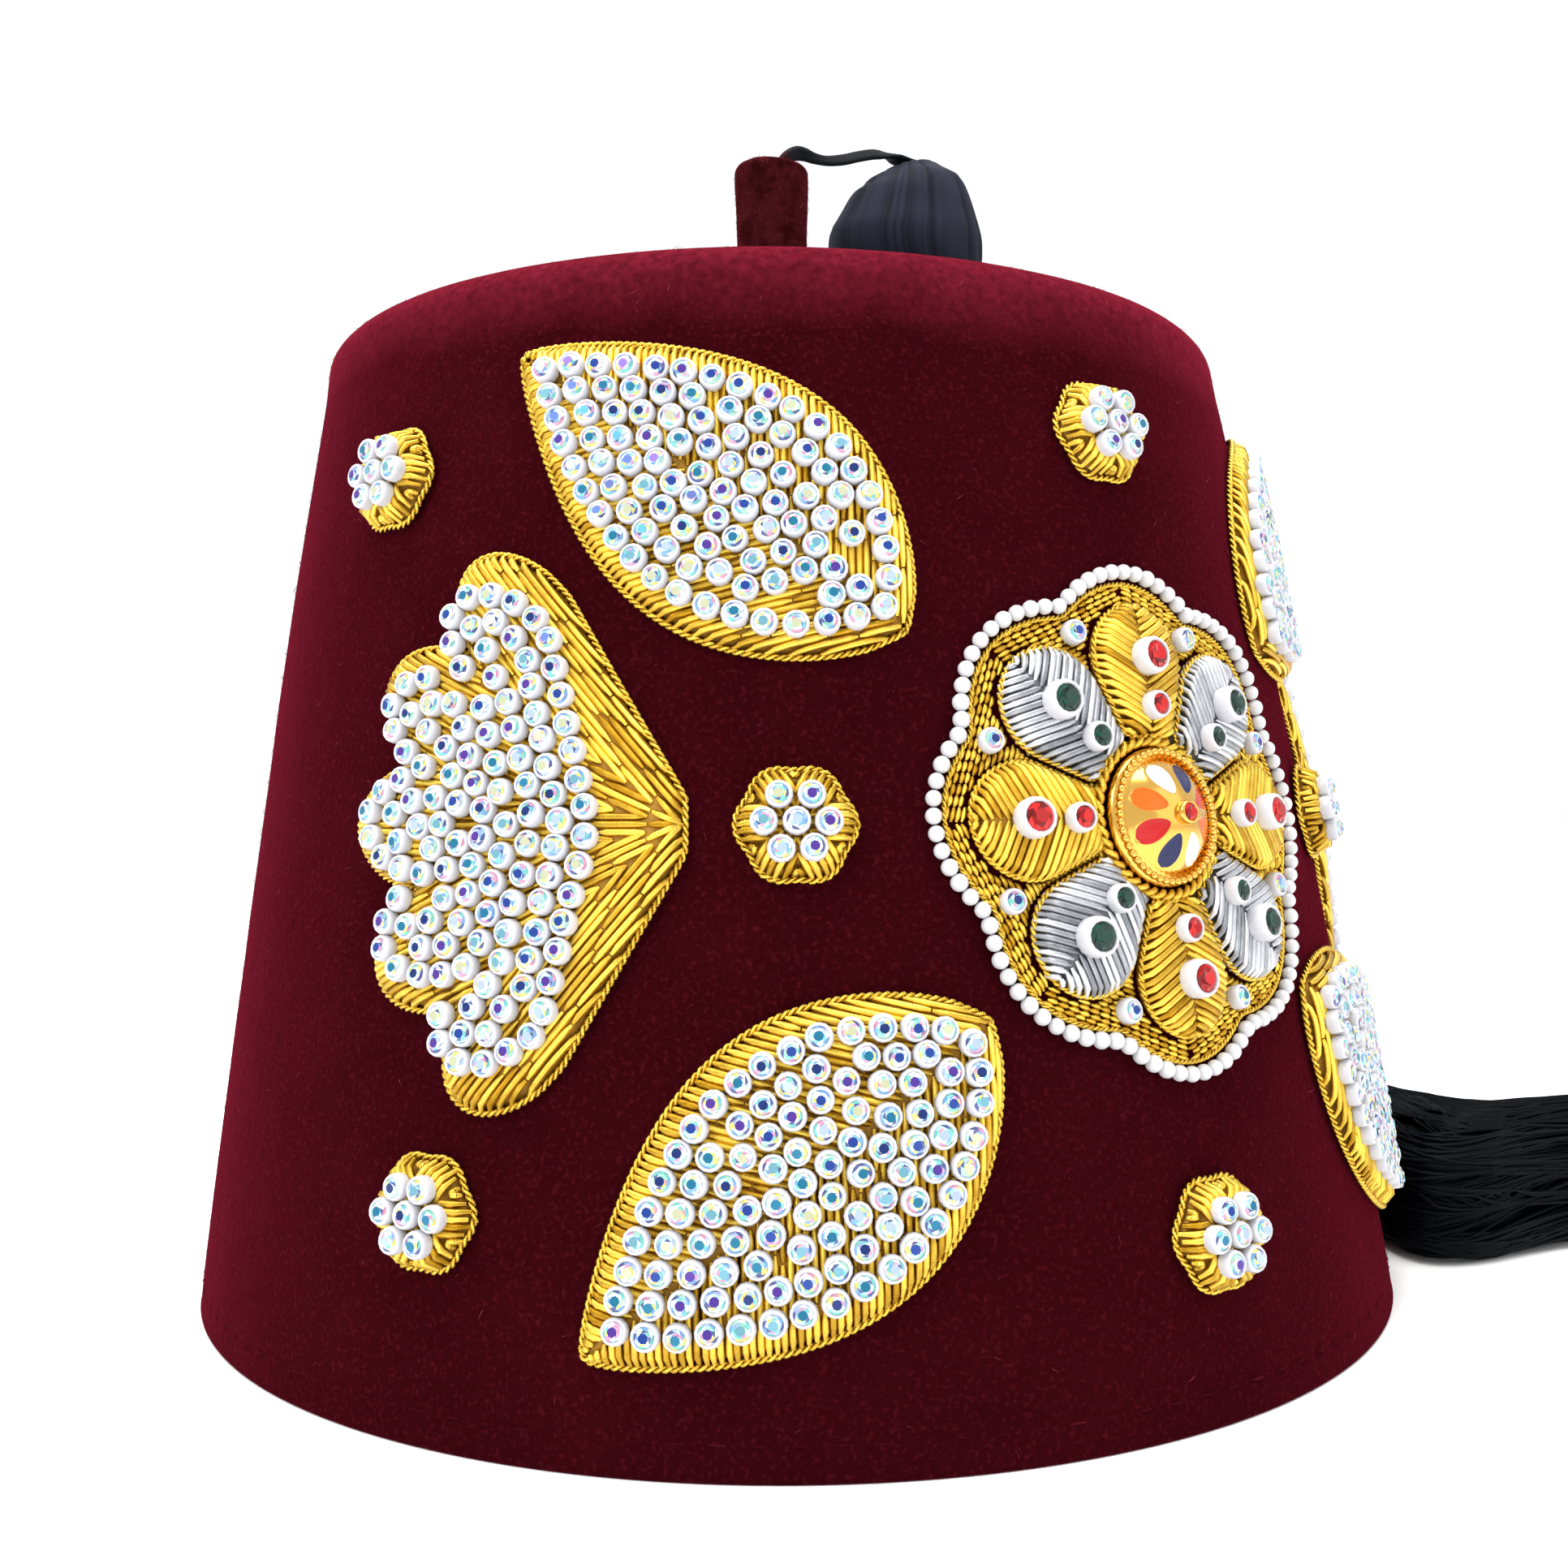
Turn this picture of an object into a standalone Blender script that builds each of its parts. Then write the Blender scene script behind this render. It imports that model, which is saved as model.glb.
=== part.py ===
"""Felt fez hat with padded gold and crystal flowers and a long silk tassel.

Metres, +Z up. The rim stands on z = 0 and the hat's front faces -Y. The origin is below the
middle of the whole piece's box, tassel included, so the hat's own axis stands off to one side.
"""

from math import acos, atan, cos, pi, radians, sin

import bmesh
import bpy
from mathutils import Matrix, Vector

COLLECTION = "fez_hat"
GAP = 0.0003  # between pieces that touch

# Felt body
HAT_AXIS = Vector((-0.0207, 0.0007, 0.0))
RIM_RADIUS = 0.094
TOP_RADIUS = 0.0716  # outside, where the wall meets the rounded edge
HAT_HEIGHT = 0.146
TOP_DOME = 0.0015
EDGE_ROUND = 0.0055
WALL_BULGE = 0.0007
FELT = 0.0024
LEAN = Vector((-0.0022, 0.0015, 0.0))  # of the top, off the rim's middle
FELT_SIDES = 64
WALL_RUN = HAT_HEIGHT - EDGE_ROUND

# Felt stem on the top
STEM_RADIUS = 0.0061
STEM_HEIGHT = 0.0345
STEM_ROUND = 0.0024
STEM_SIDES = 20

# Ornament, laid out over the wall about a middle on the hat's front
PATTERN_HEIGHT = 0.072
PAD_THICK = 0.0022
FIELD_THICK = 0.0019
SLICE = 0.0058  # widest flat facet of a pad bent round the wall

FLOWER_PETALS = 8
PETAL_START = 0.0102  # from the flower's middle
PETAL_END = 0.0272
PETAL_CLEAR = 0.0004
BOSS_RADIUS = 0.0088
BOSS_HEIGHT = 0.0052
PEARL_RADIUS = 0.00105
PEARL_RING = 0.0287
PEARL_LOBE = 0.0028
PEARL_POINTS = 48

STONE_SIDES = 10
LARGE_CUP = 0.0026
SMALL_CUP = 0.0018
LARGE_CUP_REACH = 0.0201
SMALL_CUP_REACH = 0.0139
CUP_HEIGHT = 0.0015
STONE_RISE = 0.0008

LEAF_LENGTH = 0.060
LEAF_WIDTH = 0.033
LEAF_BORDER = 0.0036
LEAF_REACH = 0.0675  # from the flower's middle to the leaf's
LEAF_RISE = radians(38)

FAN_LENGTH = 0.046
FAN_STEP = radians(25)  # between its lobes
FAN_LOBES = 5
FAN_BASE = 0.0605
FAN_BORDER = 0.0042

FLORET_RADIUS = 0.0068
FLORET_LOBES = 6
FLORET_THICK = 0.0036

# Tassel: its strands end at TASSEL_TURN about the hat's axis; each row is a section
TASSEL_TURN = radians(-34)
TASSEL_FALL = radians(33)  # the fall down the wall, from the strands' end
TASSEL_SIDES = 18
TASSEL_FLUTE = 0.13
TASSEL_STEPS = 2  # sections worked out between two rows
# along, back, up, half width, half depth, stand (0 lies on the hat, 1 stands on edge), in mm
TASSEL_ROWS = (
    (19.5, 17.9, 190.3, 1.5, 1.5, 0),
    (20.9, 19.2, 189.2, 3.2, 3.2, 0),
    (21.4, 19.8, 187.6, 5.2, 5.2, 0),
    (21.5, 20.0, 185.8, 8.9, 8.7, 0),
    (21.6, 20.2, 181.6, 11.7, 11.4, 0),
    (21.8, 20.4, 174.5, 13.8, 13.3, 0),
    (23.6, 21.6, 167.4, 14.4, 12.6, 0),
    (28.6, 24.8, 160.3, 14.0, 10.6, 0),
    (38.0, 30.0, 156.2, 13.4, 8.0, 0),
    (52.0, 37.0, 154.8, 13.2, 6.9, 0),
    (61.4, 42.6, 149.6, 13.0, 6.8, 0),
    (65.6, 45.6, 139.0, 12.8, 6.9, 0),
    (70.0, 47.9, 110.0, 12.6, 7.4, 0),
    (76.4, 51.3, 74.0, 12.4, 7.8, 0),
    (81.8, 54.0, 43.0, 12.2, 8.2, 0.1),
    (88.2, 53.2, 23.0, 11.8, 8.8, 0.45),
    (98.0, 43.0, 12.9, 11.8, 9.4, 0.85),
    (105.0, 27.0, 12.3, 11.6, 9.8, 1),
    (108.6, 11.5, 12.3, 11.6, 11.4, 1),
    (115.0, 3.4, 12.3, 11.6, 13.4, 1),
    (126.0, 2.4, 12.2, 11.6, 15.0, 1),
    (139.0, 4.4, 12.0, 11.4, 15.4, 1),
    (152.0, 7.4, 11.8, 11.0, 15.2, 1),
)

# Cord, from the stem's top to the tassel's: along, back and up in mm
CORD_THICK = 0.0022
CORD_ROUTE = (
    (-2.0, 0.0, 182.7),
    (-1.6, 0.4, 184.6),
    (2.0, 2.4, 186.0),
    (7.0, 6.6, 186.0),
    (12.2, 11.2, 187.4),
    (16.6, 15.3, 189.6),
    (19.1, 17.5, 190.5),
)

FELT_RED = (0.085, 0.006, 0.012, 1)
STEM_RED = (0.06, 0.006, 0.008, 1)
SILK_BLACK = (0.008, 0.009, 0.014, 1)
GOLD = (0.83, 0.56, 0.09, 1)
SILVER = (0.62, 0.63, 0.66, 1)
PEARL = (0.86, 0.85, 0.87, 1)
CRYSTAL = (0.80, 0.82, 0.90, 1)
RUBY = (0.55, 0.01, 0.02, 1)
EMERALD = (0.0, 0.09, 0.05, 1)


def material(name, color, roughness, metallic=0.0):
    found = bpy.data.materials.get(name)
    if found:
        return found
    made = bpy.data.materials.new(name)
    made.use_nodes = True
    shader = made.node_tree.nodes["Principled BSDF"]
    shader.inputs["Base Color"].default_value = color
    shader.inputs["Roughness"].default_value = roughness
    shader.inputs["Metallic"].default_value = metallic
    return made


def clear_scene():
    for ob in list(bpy.data.objects):
        bpy.data.objects.remove(ob, do_unlink=True)


def add_object(name, data, finish, parent):
    """Put mesh or curve data in the collection under the hat's axis."""
    ob = bpy.data.objects.new(name, data)
    data.materials.append(finish)
    bpy.data.collections[COLLECTION].objects.link(ob)
    ob.parent = parent
    return ob


def to_mesh(ob):
    """Swap an object with modifiers, or a curve, for its evaluated and welded mesh."""
    bpy.context.view_layer.update()
    graph = bpy.context.evaluated_depsgraph_get()
    mesh = bpy.data.meshes.new_from_object(ob.evaluated_get(graph))
    bm = bmesh.new()
    bm.from_mesh(mesh)
    bmesh.ops.remove_doubles(bm, verts=bm.verts, dist=0.000002)
    bm.to_mesh(mesh)
    bm.free()
    made = bpy.data.objects.new(ob.name, mesh)
    made.parent = ob.parent
    bpy.data.collections[COLLECTION].objects.link(made)
    old_name = ob.name
    bpy.data.objects.remove(ob, do_unlink=True)
    made.name = old_name
    return made


# The hat's wall


def wall_radius(z):
    t = min(max(z / WALL_RUN, 0), 1)
    return RIM_RADIUS + (TOP_RADIUS - RIM_RADIUS) * t + 4 * WALL_BULGE * t * (1 - t)


def wall_slope(z):
    """The wall's lean inwards from upright, in radians."""
    t = min(max(z / WALL_RUN, 0), 1)
    return atan((RIM_RADIUS - TOP_RADIUS - 4 * WALL_BULGE * (1 - 2 * t)) / WALL_RUN)


def wall_point(angle, z, out):
    """A point `out` off the felt, at an angle from the front and a height on the wall."""
    slope = wall_slope(z)
    radius = wall_radius(z) + out * cos(slope)
    place = Vector((radius * sin(angle), -radius * cos(angle), z + out * sin(slope)))
    return place + LEAN * z / HAT_HEIGHT


def pattern_point(spot, x, y, out):
    """Bend a motif's own x and y, in metres, round the wall at its spot."""
    across, up, turn = spot
    slope = wall_slope(PATTERN_HEIGHT)
    turned_x = x * cos(turn) - y * sin(turn)
    turned_y = x * sin(turn) + y * cos(turn)
    middle = PATTERN_HEIGHT + up * cos(slope)
    z = middle + turned_y * cos(slope)
    return wall_point(across / wall_radius(middle) + turned_x / wall_radius(z), z, out)


def turned(name, profile, sides, finish, parent, location=(0, 0, 0)):
    """Turn an open profile of (radius, height) points, outer side downwards."""
    mesh = bpy.data.meshes.new(name)
    points = [(radius, 0, z) for radius, z in profile]
    mesh.from_pydata(points, [(i, i + 1) for i in range(len(points) - 1)], [])
    ob = add_object(name, mesh, finish, parent)
    screw = ob.modifiers.new("turn", "SCREW")
    screw.steps = sides
    screw.render_steps = sides
    screw.use_merge_vertices = True
    screw.merge_threshold = 0.000002
    ob.location = location
    return ob


def arc(middle_x, middle_z, radius, start, stop, steps):
    """Points on an arc in the profile's plane, both ends included."""
    return [
        (
            middle_x + radius * cos(start + (stop - start) * i / steps),
            middle_z + radius * sin(start + (stop - start) * i / steps),
        )
        for i in range(steps + 1)
    ]


def felt_crown(parent):
    rounding = wall_slope(WALL_RUN)
    flat = TOP_RADIUS - EDGE_ROUND * cos(rounding)
    edge_z = HAT_HEIGHT - EDGE_ROUND
    outer_edge = arc(flat, edge_z, EDGE_ROUND, pi / 2, rounding, 5)
    inner_edge = arc(flat, edge_z, EDGE_ROUND - FELT, rounding, pi / 2, 3)
    outer_wall = [(wall_radius(WALL_RUN * i / 5), WALL_RUN * i / 5) for i in range(4, -1, -1)]
    inner_wall = [(wall_radius(WALL_RUN * i / 3) - FELT, WALL_RUN * i / 3) for i in range(3)]
    top = [(flat * i / 2, HAT_HEIGHT + TOP_DOME * (1 - (i / 2) ** 2)) for i in range(2)]
    ceiling = [(radius, z - FELT) for radius, z in reversed(top)]
    profile = top + outer_edge + outer_wall + inner_wall + inner_edge + ceiling
    finish = material("red_felt", FELT_RED, 0.95)
    body = to_mesh(turned("felt_crown", profile, FELT_SIDES, finish, parent))
    for vertex in body.data.vertices:
        vertex.co += LEAN * vertex.co.z / HAT_HEIGHT
    body.data.shade_smooth()
    return body


def stem(parent):
    shoulder = STEM_RADIUS - STEM_ROUND
    foot = HAT_HEIGHT + TOP_DOME + GAP
    top = foot + STEM_HEIGHT
    profile = [(0, top), *arc(shoulder, top - STEM_ROUND, STEM_ROUND, pi / 2, 0, 4)]
    profile += [(STEM_RADIUS * 0.955, foot + STEM_HEIGHT * 0.45), (STEM_RADIUS, foot), (0, foot)]
    made = turned("stem", profile, STEM_SIDES, material("stem_felt", STEM_RED, 0.95), parent, LEAN)
    return made


# Outlines, each a ring of (x, y) points counter-clockwise from +Z


def leaf_outline(inset):
    """A leaf along y: rounded at its base and pointed at its tip."""
    length = LEAF_LENGTH - 2.6 * inset
    width = LEAF_WIDTH - 2 * inset
    base = -LEAF_LENGTH / 2 + 1.05 * inset
    steps = 11
    rows = [(width / 2 * sin(pi * (i / steps) ** 0.82) ** 0.85, i / steps) for i in range(1, steps)]
    right = [(x, base + length * t) for x, t in rows]
    left = [(-x, y) for x, y in reversed(right)]
    return [(0, base), *right, (0, base + length), *left]


def fan_outline(inset):
    """A fan along y from a narrow base, with a row of rounded lobes."""
    half = FAN_STEP * FAN_LOBES / 2
    length = FAN_LENGTH - inset
    steps = 6 * FAN_LOBES
    foot = 0.0032 - 0.3 * inset
    start = 2.6 * inset
    points = [(foot, start)]
    for i in range(steps + 1):
        swing = half - 2 * half * i / steps
        lobe = abs(cos(pi * swing / FAN_STEP)) ** 0.7
        tight = half - 1.15 * inset / length
        reach = length * (1 - 0.1 * (swing / half) ** 2) * (0.76 + 0.24 * lobe)
        bend = swing * tight / half
        points.append((reach * sin(bend), reach * cos(bend)))
    points.append((-foot, start))
    return points


def petal_outline():
    """A petal along y, narrow towards the flower's middle and round outside."""
    half = pi / FLOWER_PETALS
    middle = (PETAL_END + PETAL_CLEAR) / (1 + sin(half))
    radius = PETAL_END - middle
    foot = (PETAL_START * sin(half) - PETAL_CLEAR) / cos(half)
    steps = 9
    swings = [-half + (pi + 2 * half) * i / steps for i in range(steps + 1)]
    ring = [(radius * cos(a), middle + radius * sin(a)) for a in swings]
    return [(-foot, PETAL_START), (foot, PETAL_START), *ring]


def floret_outline():
    steps = 4 * FLORET_LOBES
    points = []
    for i in range(steps):
        swing = 2 * pi * i / steps
        reach = FLORET_RADIUS * (0.87 + 0.13 * abs(cos(FLORET_LOBES * swing / 2)))
        points.append((reach * cos(swing), reach * sin(swing)))
    return points


def flat_plate(name, outline, spot):
    """Fill an outline, turned to its spot's turn, and cut it into upright slices."""
    curve = bpy.data.curves.new(name, "CURVE")
    curve.dimensions = "2D"
    curve.fill_mode = "BOTH"
    curve.extrude = 0.5
    spline = curve.splines.new("POLY")
    spline.points.add(len(outline) - 1)
    turn = Matrix.Rotation(spot[2], 2)
    for point, place in zip(spline.points, outline, strict=True):
        x, y = turn @ Vector(place)
        point.co = (x, y, 0, 1)
    spline.use_cyclic_u = True
    guide = bpy.data.objects.new(name, curve)
    bpy.data.collections[COLLECTION].objects.link(guide)
    bpy.context.view_layer.update()
    graph = bpy.context.evaluated_depsgraph_get()
    bm = bmesh.new()
    mesh = bpy.data.meshes.new_from_object(guide.evaluated_get(graph))
    bm.from_mesh(mesh)
    bpy.data.meshes.remove(mesh)
    bpy.data.objects.remove(guide, do_unlink=True)
    bmesh.ops.remove_doubles(bm, verts=bm.verts, dist=0.000002)
    bmesh.ops.dissolve_limit(bm, angle_limit=0.001, verts=bm.verts, edges=bm.edges)
    low = min(v.co.x for v in bm.verts)
    high = max(v.co.x for v in bm.verts)
    slices = max(1, round((high - low) / SLICE))
    for i in range(1, slices):
        cut = Vector((low + (high - low) * i / slices, 0, 0))
        geometry = [*bm.verts, *bm.edges, *bm.faces]
        bmesh.ops.bisect_plane(bm, geom=geometry, dist=0.00001, plane_co=cut, plane_no=(1, 0, 0))
    return bm


def pad(name, outline, spot, base, thick, finish, parent):
    """A plate bent round the wall: from `base` to `base + thick` off the felt."""
    bm = flat_plate(name, outline, spot)
    upright = (spot[0], spot[1], 0)
    for vertex in bm.verts:
        out = base + thick if vertex.co.z > 0 else base
        vertex.co = pattern_point(upright, vertex.co.x, vertex.co.y, out)
    if bm.calc_volume(signed=True) < 0:
        bmesh.ops.reverse_faces(bm, faces=bm.faces)
    mesh = bpy.data.meshes.new(name)
    bm.to_mesh(mesh)
    bm.free()
    return add_object(name, mesh, finish, parent)


def seat(spot, x, y, out):
    """The placing matrix of a small piece that stands square on the wall."""
    place = pattern_point(spot, x, y, out)
    away = (pattern_point(spot, x, y, out + 0.001) - place).normalized()
    side = (pattern_point(spot, x + 0.001, y, out) - place).normalized()
    up = away.cross(side).normalized()
    turn = Matrix((up.cross(away), up, away)).transposed()
    return Matrix.Translation(place) @ turn.to_4x4()


def cup_stone(name, radius, finish, parent, placing):
    """A round cup with a cut stone in it: a table and a ring of facets."""
    stone = radius * 0.72
    rows = [
        (0, CUP_HEIGHT + STONE_RISE),
        (stone * 0.52, CUP_HEIGHT + STONE_RISE),
        (stone, CUP_HEIGHT * 0.93),
        (radius * 0.9, CUP_HEIGHT),
        (radius, CUP_HEIGHT * 0.7),
        (radius, 0),
        (0, 0),
    ]
    ob = turned(name, rows, STONE_SIDES, finish, parent)
    ob.matrix_local = placing
    return ob


def flower(parent):
    gold = material("gold_purl", GOLD, 0.35, 1)
    silver = material("silver_purl", SILVER, 0.3, 1)
    ruby = material("ruby_stone", RUBY, 0.1)
    emerald = material("emerald_stone", EMERALD, 0.1)
    lift = GAP + PAD_THICK + GAP
    for i in range(FLOWER_PETALS):
        spot = (0, 0, -2 * pi * i / FLOWER_PETALS)
        metal, stone = (gold, ruby) if i % 2 == 0 else (silver, emerald)
        pad(f"petal_{i + 1}", petal_outline(), spot, GAP, PAD_THICK, metal, parent)
        large = seat(spot, 0, LARGE_CUP_REACH, lift)
        small = seat(spot, 0, SMALL_CUP_REACH, lift)
        cup_stone(f"petal_stone_{i + 1}_large", LARGE_CUP, stone, parent, large)
        cup_stone(f"petal_stone_{i + 1}_small", SMALL_CUP, stone, parent, small)


def flower_boss(parent):
    """A polished dome in a stepped collar at the flower's middle."""
    collar = BOSS_HEIGHT * 0.36
    dome = BOSS_RADIUS * 0.84
    swell = (dome**2 + (BOSS_HEIGHT - collar) ** 2) / (2 * (BOSS_HEIGHT - collar))
    reach = acos((swell - BOSS_HEIGHT + collar) / swell)
    rise = arc(0, BOSS_HEIGHT - swell, swell, pi / 2, pi / 2 - reach, 4)
    profile = [*rise, (BOSS_RADIUS * 0.96, collar), (BOSS_RADIUS, collar * 0.8), (BOSS_RADIUS, 0), (0, 0)]
    profile[0] = (0, BOSS_HEIGHT)
    ob = turned("flower_boss", profile, 24, material("polished_gold", GOLD, 0.12, 1), parent)
    ob.matrix_local = seat((0, 0, 0), 0, 0, GAP)
    return ob


def tube(name, points, radius, finish, parent, closed=False):
    curve = bpy.data.curves.new(name, "CURVE")
    curve.dimensions = "3D"
    curve.bevel_depth = radius
    curve.bevel_resolution = 2
    curve.use_fill_caps = not closed
    spline = curve.splines.new("POLY")
    spline.points.add(len(points) - 1)
    for point, place in zip(spline.points, points, strict=True):
        point.co = (*place, 1)
    spline.use_cyclic_u = closed
    return to_mesh(add_object(name, curve, finish, parent))


def pearl_edging(parent):
    """The string of pearls round the flower, as the tube that it fills."""
    points = []
    for i in range(PEARL_POINTS):
        swing = 2 * pi * i / PEARL_POINTS
        reach = PEARL_RING + PEARL_LOBE * abs(cos(FLOWER_PETALS * swing / 2))
        place = (reach * sin(swing), reach * cos(swing))
        points.append(pattern_point((0, 0, 0), *place, GAP + PEARL_RADIUS))
    return tube("pearl_edging", points, PEARL_RADIUS, material("pearl", PEARL, 0.25), parent, True)


def leaves(parent):
    gold = material("gold_purl", GOLD, 0.35, 1)
    crystal = material("crystal_cups", CRYSTAL, 0.2)
    lift = GAP + PAD_THICK + GAP
    for side_name, side in (("right", -1), ("left", 1)):
        for level, rise in (("upper", 1), ("lower", -1)):
            across = side * LEAF_REACH * cos(LEAF_RISE)
            up = rise * LEAF_REACH * sin(LEAF_RISE)
            spot = (across, up, -side * (pi / 2 - rise * LEAF_RISE))
            name = f"{level}_{side_name}"
            pad(f"leaf_pad_{name}", leaf_outline(0), spot, GAP, PAD_THICK, gold, parent)
            inner = leaf_outline(LEAF_BORDER)
            pad(f"leaf_field_{name}", inner, spot, lift, FIELD_THICK, crystal, parent)


def fans(parent):
    gold = material("gold_purl", GOLD, 0.35, 1)
    crystal = material("crystal_cups", CRYSTAL, 0.2)
    lift = GAP + PAD_THICK + GAP
    for side_name, side in (("right", -1), ("left", 1)):
        spot = (side * FAN_BASE, 0, -side * pi / 2)
        pad(f"fan_pad_{side_name}", fan_outline(0), spot, GAP, PAD_THICK, gold, parent)
        inner = fan_outline(FAN_BORDER)
        pad(f"fan_field_{side_name}", inner, spot, lift, FIELD_THICK, crystal, parent)


def florets(parent):
    """Small scalloped flowers: above, below and beside the big ones."""
    gold = material("gold_purl", GOLD, 0.35, 1)
    spots = {
        "top": (0, 0.0505),
        "bottom": (0, -0.0505),
        "inner_right": (-0.0475, 0),
        "inner_left": (0.0475, 0),
        "upper_right": (-0.098, 0.046),
        "upper_left": (0.098, 0.046),
        "lower_right": (-0.098, -0.046),
        "lower_left": (0.098, -0.046),
    }
    for name, (across, up) in spots.items():
        pad(f"floret_{name}", floret_outline(), (across, up, 0), GAP, FLORET_THICK, gold, parent)


# The tassel and its cord


def laid(along, back, up):
    """A point given in mm along and back of the direction in which the strands end."""
    x = along * cos(TASSEL_TURN) - back * sin(TASSEL_TURN)
    y = along * sin(TASSEL_TURN) + back * cos(TASSEL_TURN)
    return Vector((x, y, up)) / 1000


def smooth_rows(rows, steps):
    """Rows of numbers with `steps` more steps each, on a smooth curve through them."""
    made = []
    for i in range(len(rows) - 1):
        ring = [rows[max(i - 1, 0)], rows[i], rows[i + 1], rows[min(i + 2, len(rows) - 1)]]
        for k in range(steps):
            t = k / steps
            made.append([catmull(*column, t) for column in zip(*ring, strict=True)])
    made.append(list(rows[-1]))
    return made


def catmull(before, start, stop, after, t):
    """A value on the smooth curve from start to stop, at a share t of the way."""
    bend = 2 * before - 5 * start + 4 * stop - after
    curl = 3 * start - before - 3 * stop + after
    return 0.5 * (2 * start + (stop - before) * t + bend * t**2 + curl * t**3)


def tassel(parent):
    """One loft of fluted sections: knot, gathered head and the long bundle of strands."""
    rows = smooth_rows(TASSEL_ROWS, TASSEL_STEPS)
    places = [laid(*row[:3]) for row in rows]
    fall = TASSEL_TURN + TASSEL_FALL
    flat = Vector((-sin(fall), cos(fall), 0))
    bm = bmesh.new()
    rings = []
    for i, (row, place) in enumerate(zip(rows, places, strict=True)):
        half_wide, half_deep, stand = row[3] / 1000, row[4] / 1000, row[5]
        ahead = places[min(i + 1, len(places) - 1)] - places[max(i - 1, 0)]
        ahead.normalize()
        wide = flat * (1 - stand) + Vector((0, 0, -stand))
        wide = (wide - ahead * wide.dot(ahead)).normalized()
        deep = ahead.cross(wide)
        ring = []
        for k in range(TASSEL_SIDES):
            swing = 2 * pi * k / TASSEL_SIDES
            flute = 1 - TASSEL_FLUTE * (k % 2)
            reach = wide * half_wide * cos(swing) + deep * half_deep * sin(swing)
            ring.append(bm.verts.new(place + reach * flute))
        rings.append(ring)
    for first, second in zip(rings, rings[1:], strict=False):
        for k in range(TASSEL_SIDES):
            after = (k + 1) % TASSEL_SIDES
            bm.faces.new((first[k], first[after], second[after], second[k]))
    bm.faces.new(list(reversed(rings[0])))
    bm.faces.new(rings[-1])
    bmesh.ops.recalc_face_normals(bm, faces=bm.faces)
    mesh = bpy.data.meshes.new("tassel")
    bm.to_mesh(mesh)
    bm.free()
    return add_object("tassel", mesh, material("black_silk", SILK_BLACK, 0.45), parent)


def tassel_cord(parent):
    rows = smooth_rows(CORD_ROUTE, 3)
    points = [laid(*row) for row in rows]
    return tube("tassel_cord", points, CORD_THICK / 2, material("black_silk", SILK_BLACK, 0.45), parent)


def main():
    clear_scene()
    bpy.context.scene.collection.children.link(bpy.data.collections.new(COLLECTION))
    axis = bpy.data.objects.new("hat_axis", None)
    axis.location = HAT_AXIS
    bpy.data.collections[COLLECTION].objects.link(axis)
    felt_crown(axis)
    stem(axis)
    flower(axis)
    flower_boss(axis)
    pearl_edging(axis)
    leaves(axis)
    fans(axis)
    florets(axis)
    tassel(axis)
    tassel_cord(axis)


main()
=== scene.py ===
"""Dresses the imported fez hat: nap and seams, laid purl, cup stones, pearls and silk strands.

Metres, +Z up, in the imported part's own frame. The sizes below repeat those of the part's source,
which isn't there when this file is rerun, so each piece lies where its solid does.
"""

from __future__ import annotations

import logging
from dataclasses import dataclass, field
from enum import Enum
from functools import partial
from math import ceil, cos, pi, radians, sin, sqrt
from typing import Any, Iterable, Sequence

import bmesh
import bpy
import numpy as np
from mathutils import Matrix, Vector, noise
from mathutils.geometry import delaunay_2d_cdt
from numpy.linalg import norm


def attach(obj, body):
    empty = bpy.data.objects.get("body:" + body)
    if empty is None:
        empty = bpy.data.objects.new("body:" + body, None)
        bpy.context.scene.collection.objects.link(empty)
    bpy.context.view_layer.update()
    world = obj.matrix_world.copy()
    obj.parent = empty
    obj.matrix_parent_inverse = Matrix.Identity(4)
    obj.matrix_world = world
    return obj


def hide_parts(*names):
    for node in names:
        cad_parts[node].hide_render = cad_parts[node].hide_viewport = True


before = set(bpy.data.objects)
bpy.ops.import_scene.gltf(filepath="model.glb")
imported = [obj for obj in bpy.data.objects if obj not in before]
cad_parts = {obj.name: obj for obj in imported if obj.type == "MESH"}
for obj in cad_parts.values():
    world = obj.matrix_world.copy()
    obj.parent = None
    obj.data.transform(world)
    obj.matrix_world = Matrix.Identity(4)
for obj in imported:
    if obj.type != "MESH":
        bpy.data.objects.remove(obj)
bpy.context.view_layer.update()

MM = 0.001
BODY = "root"
GAP = 0.3 * MM  # between pieces that touch, as in the source
PAD_THICK = 2.2 * MM
CUPS_APART = 3.46 * MM
PETALS = 8
log = logging.getLogger("fez")

Array = np.ndarray
Mesh = bpy.types.Mesh
Piece = bpy.types.Object
Material = bpy.types.Material
Socket = bpy.types.NodeSocket
Color = tuple[float, float, float, float]
Lay = list[tuple[float, Any, Any]]  # directions, each with its region's test and a point


def rgb(red: float, green: float, blue: float, by: float = 1.0) -> Color:
    """A colour with full cover, from its linear red, green and blue, each times a factor."""
    return (by * red, by * green, by * blue, 1.0)


# ---------------- node trees


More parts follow.
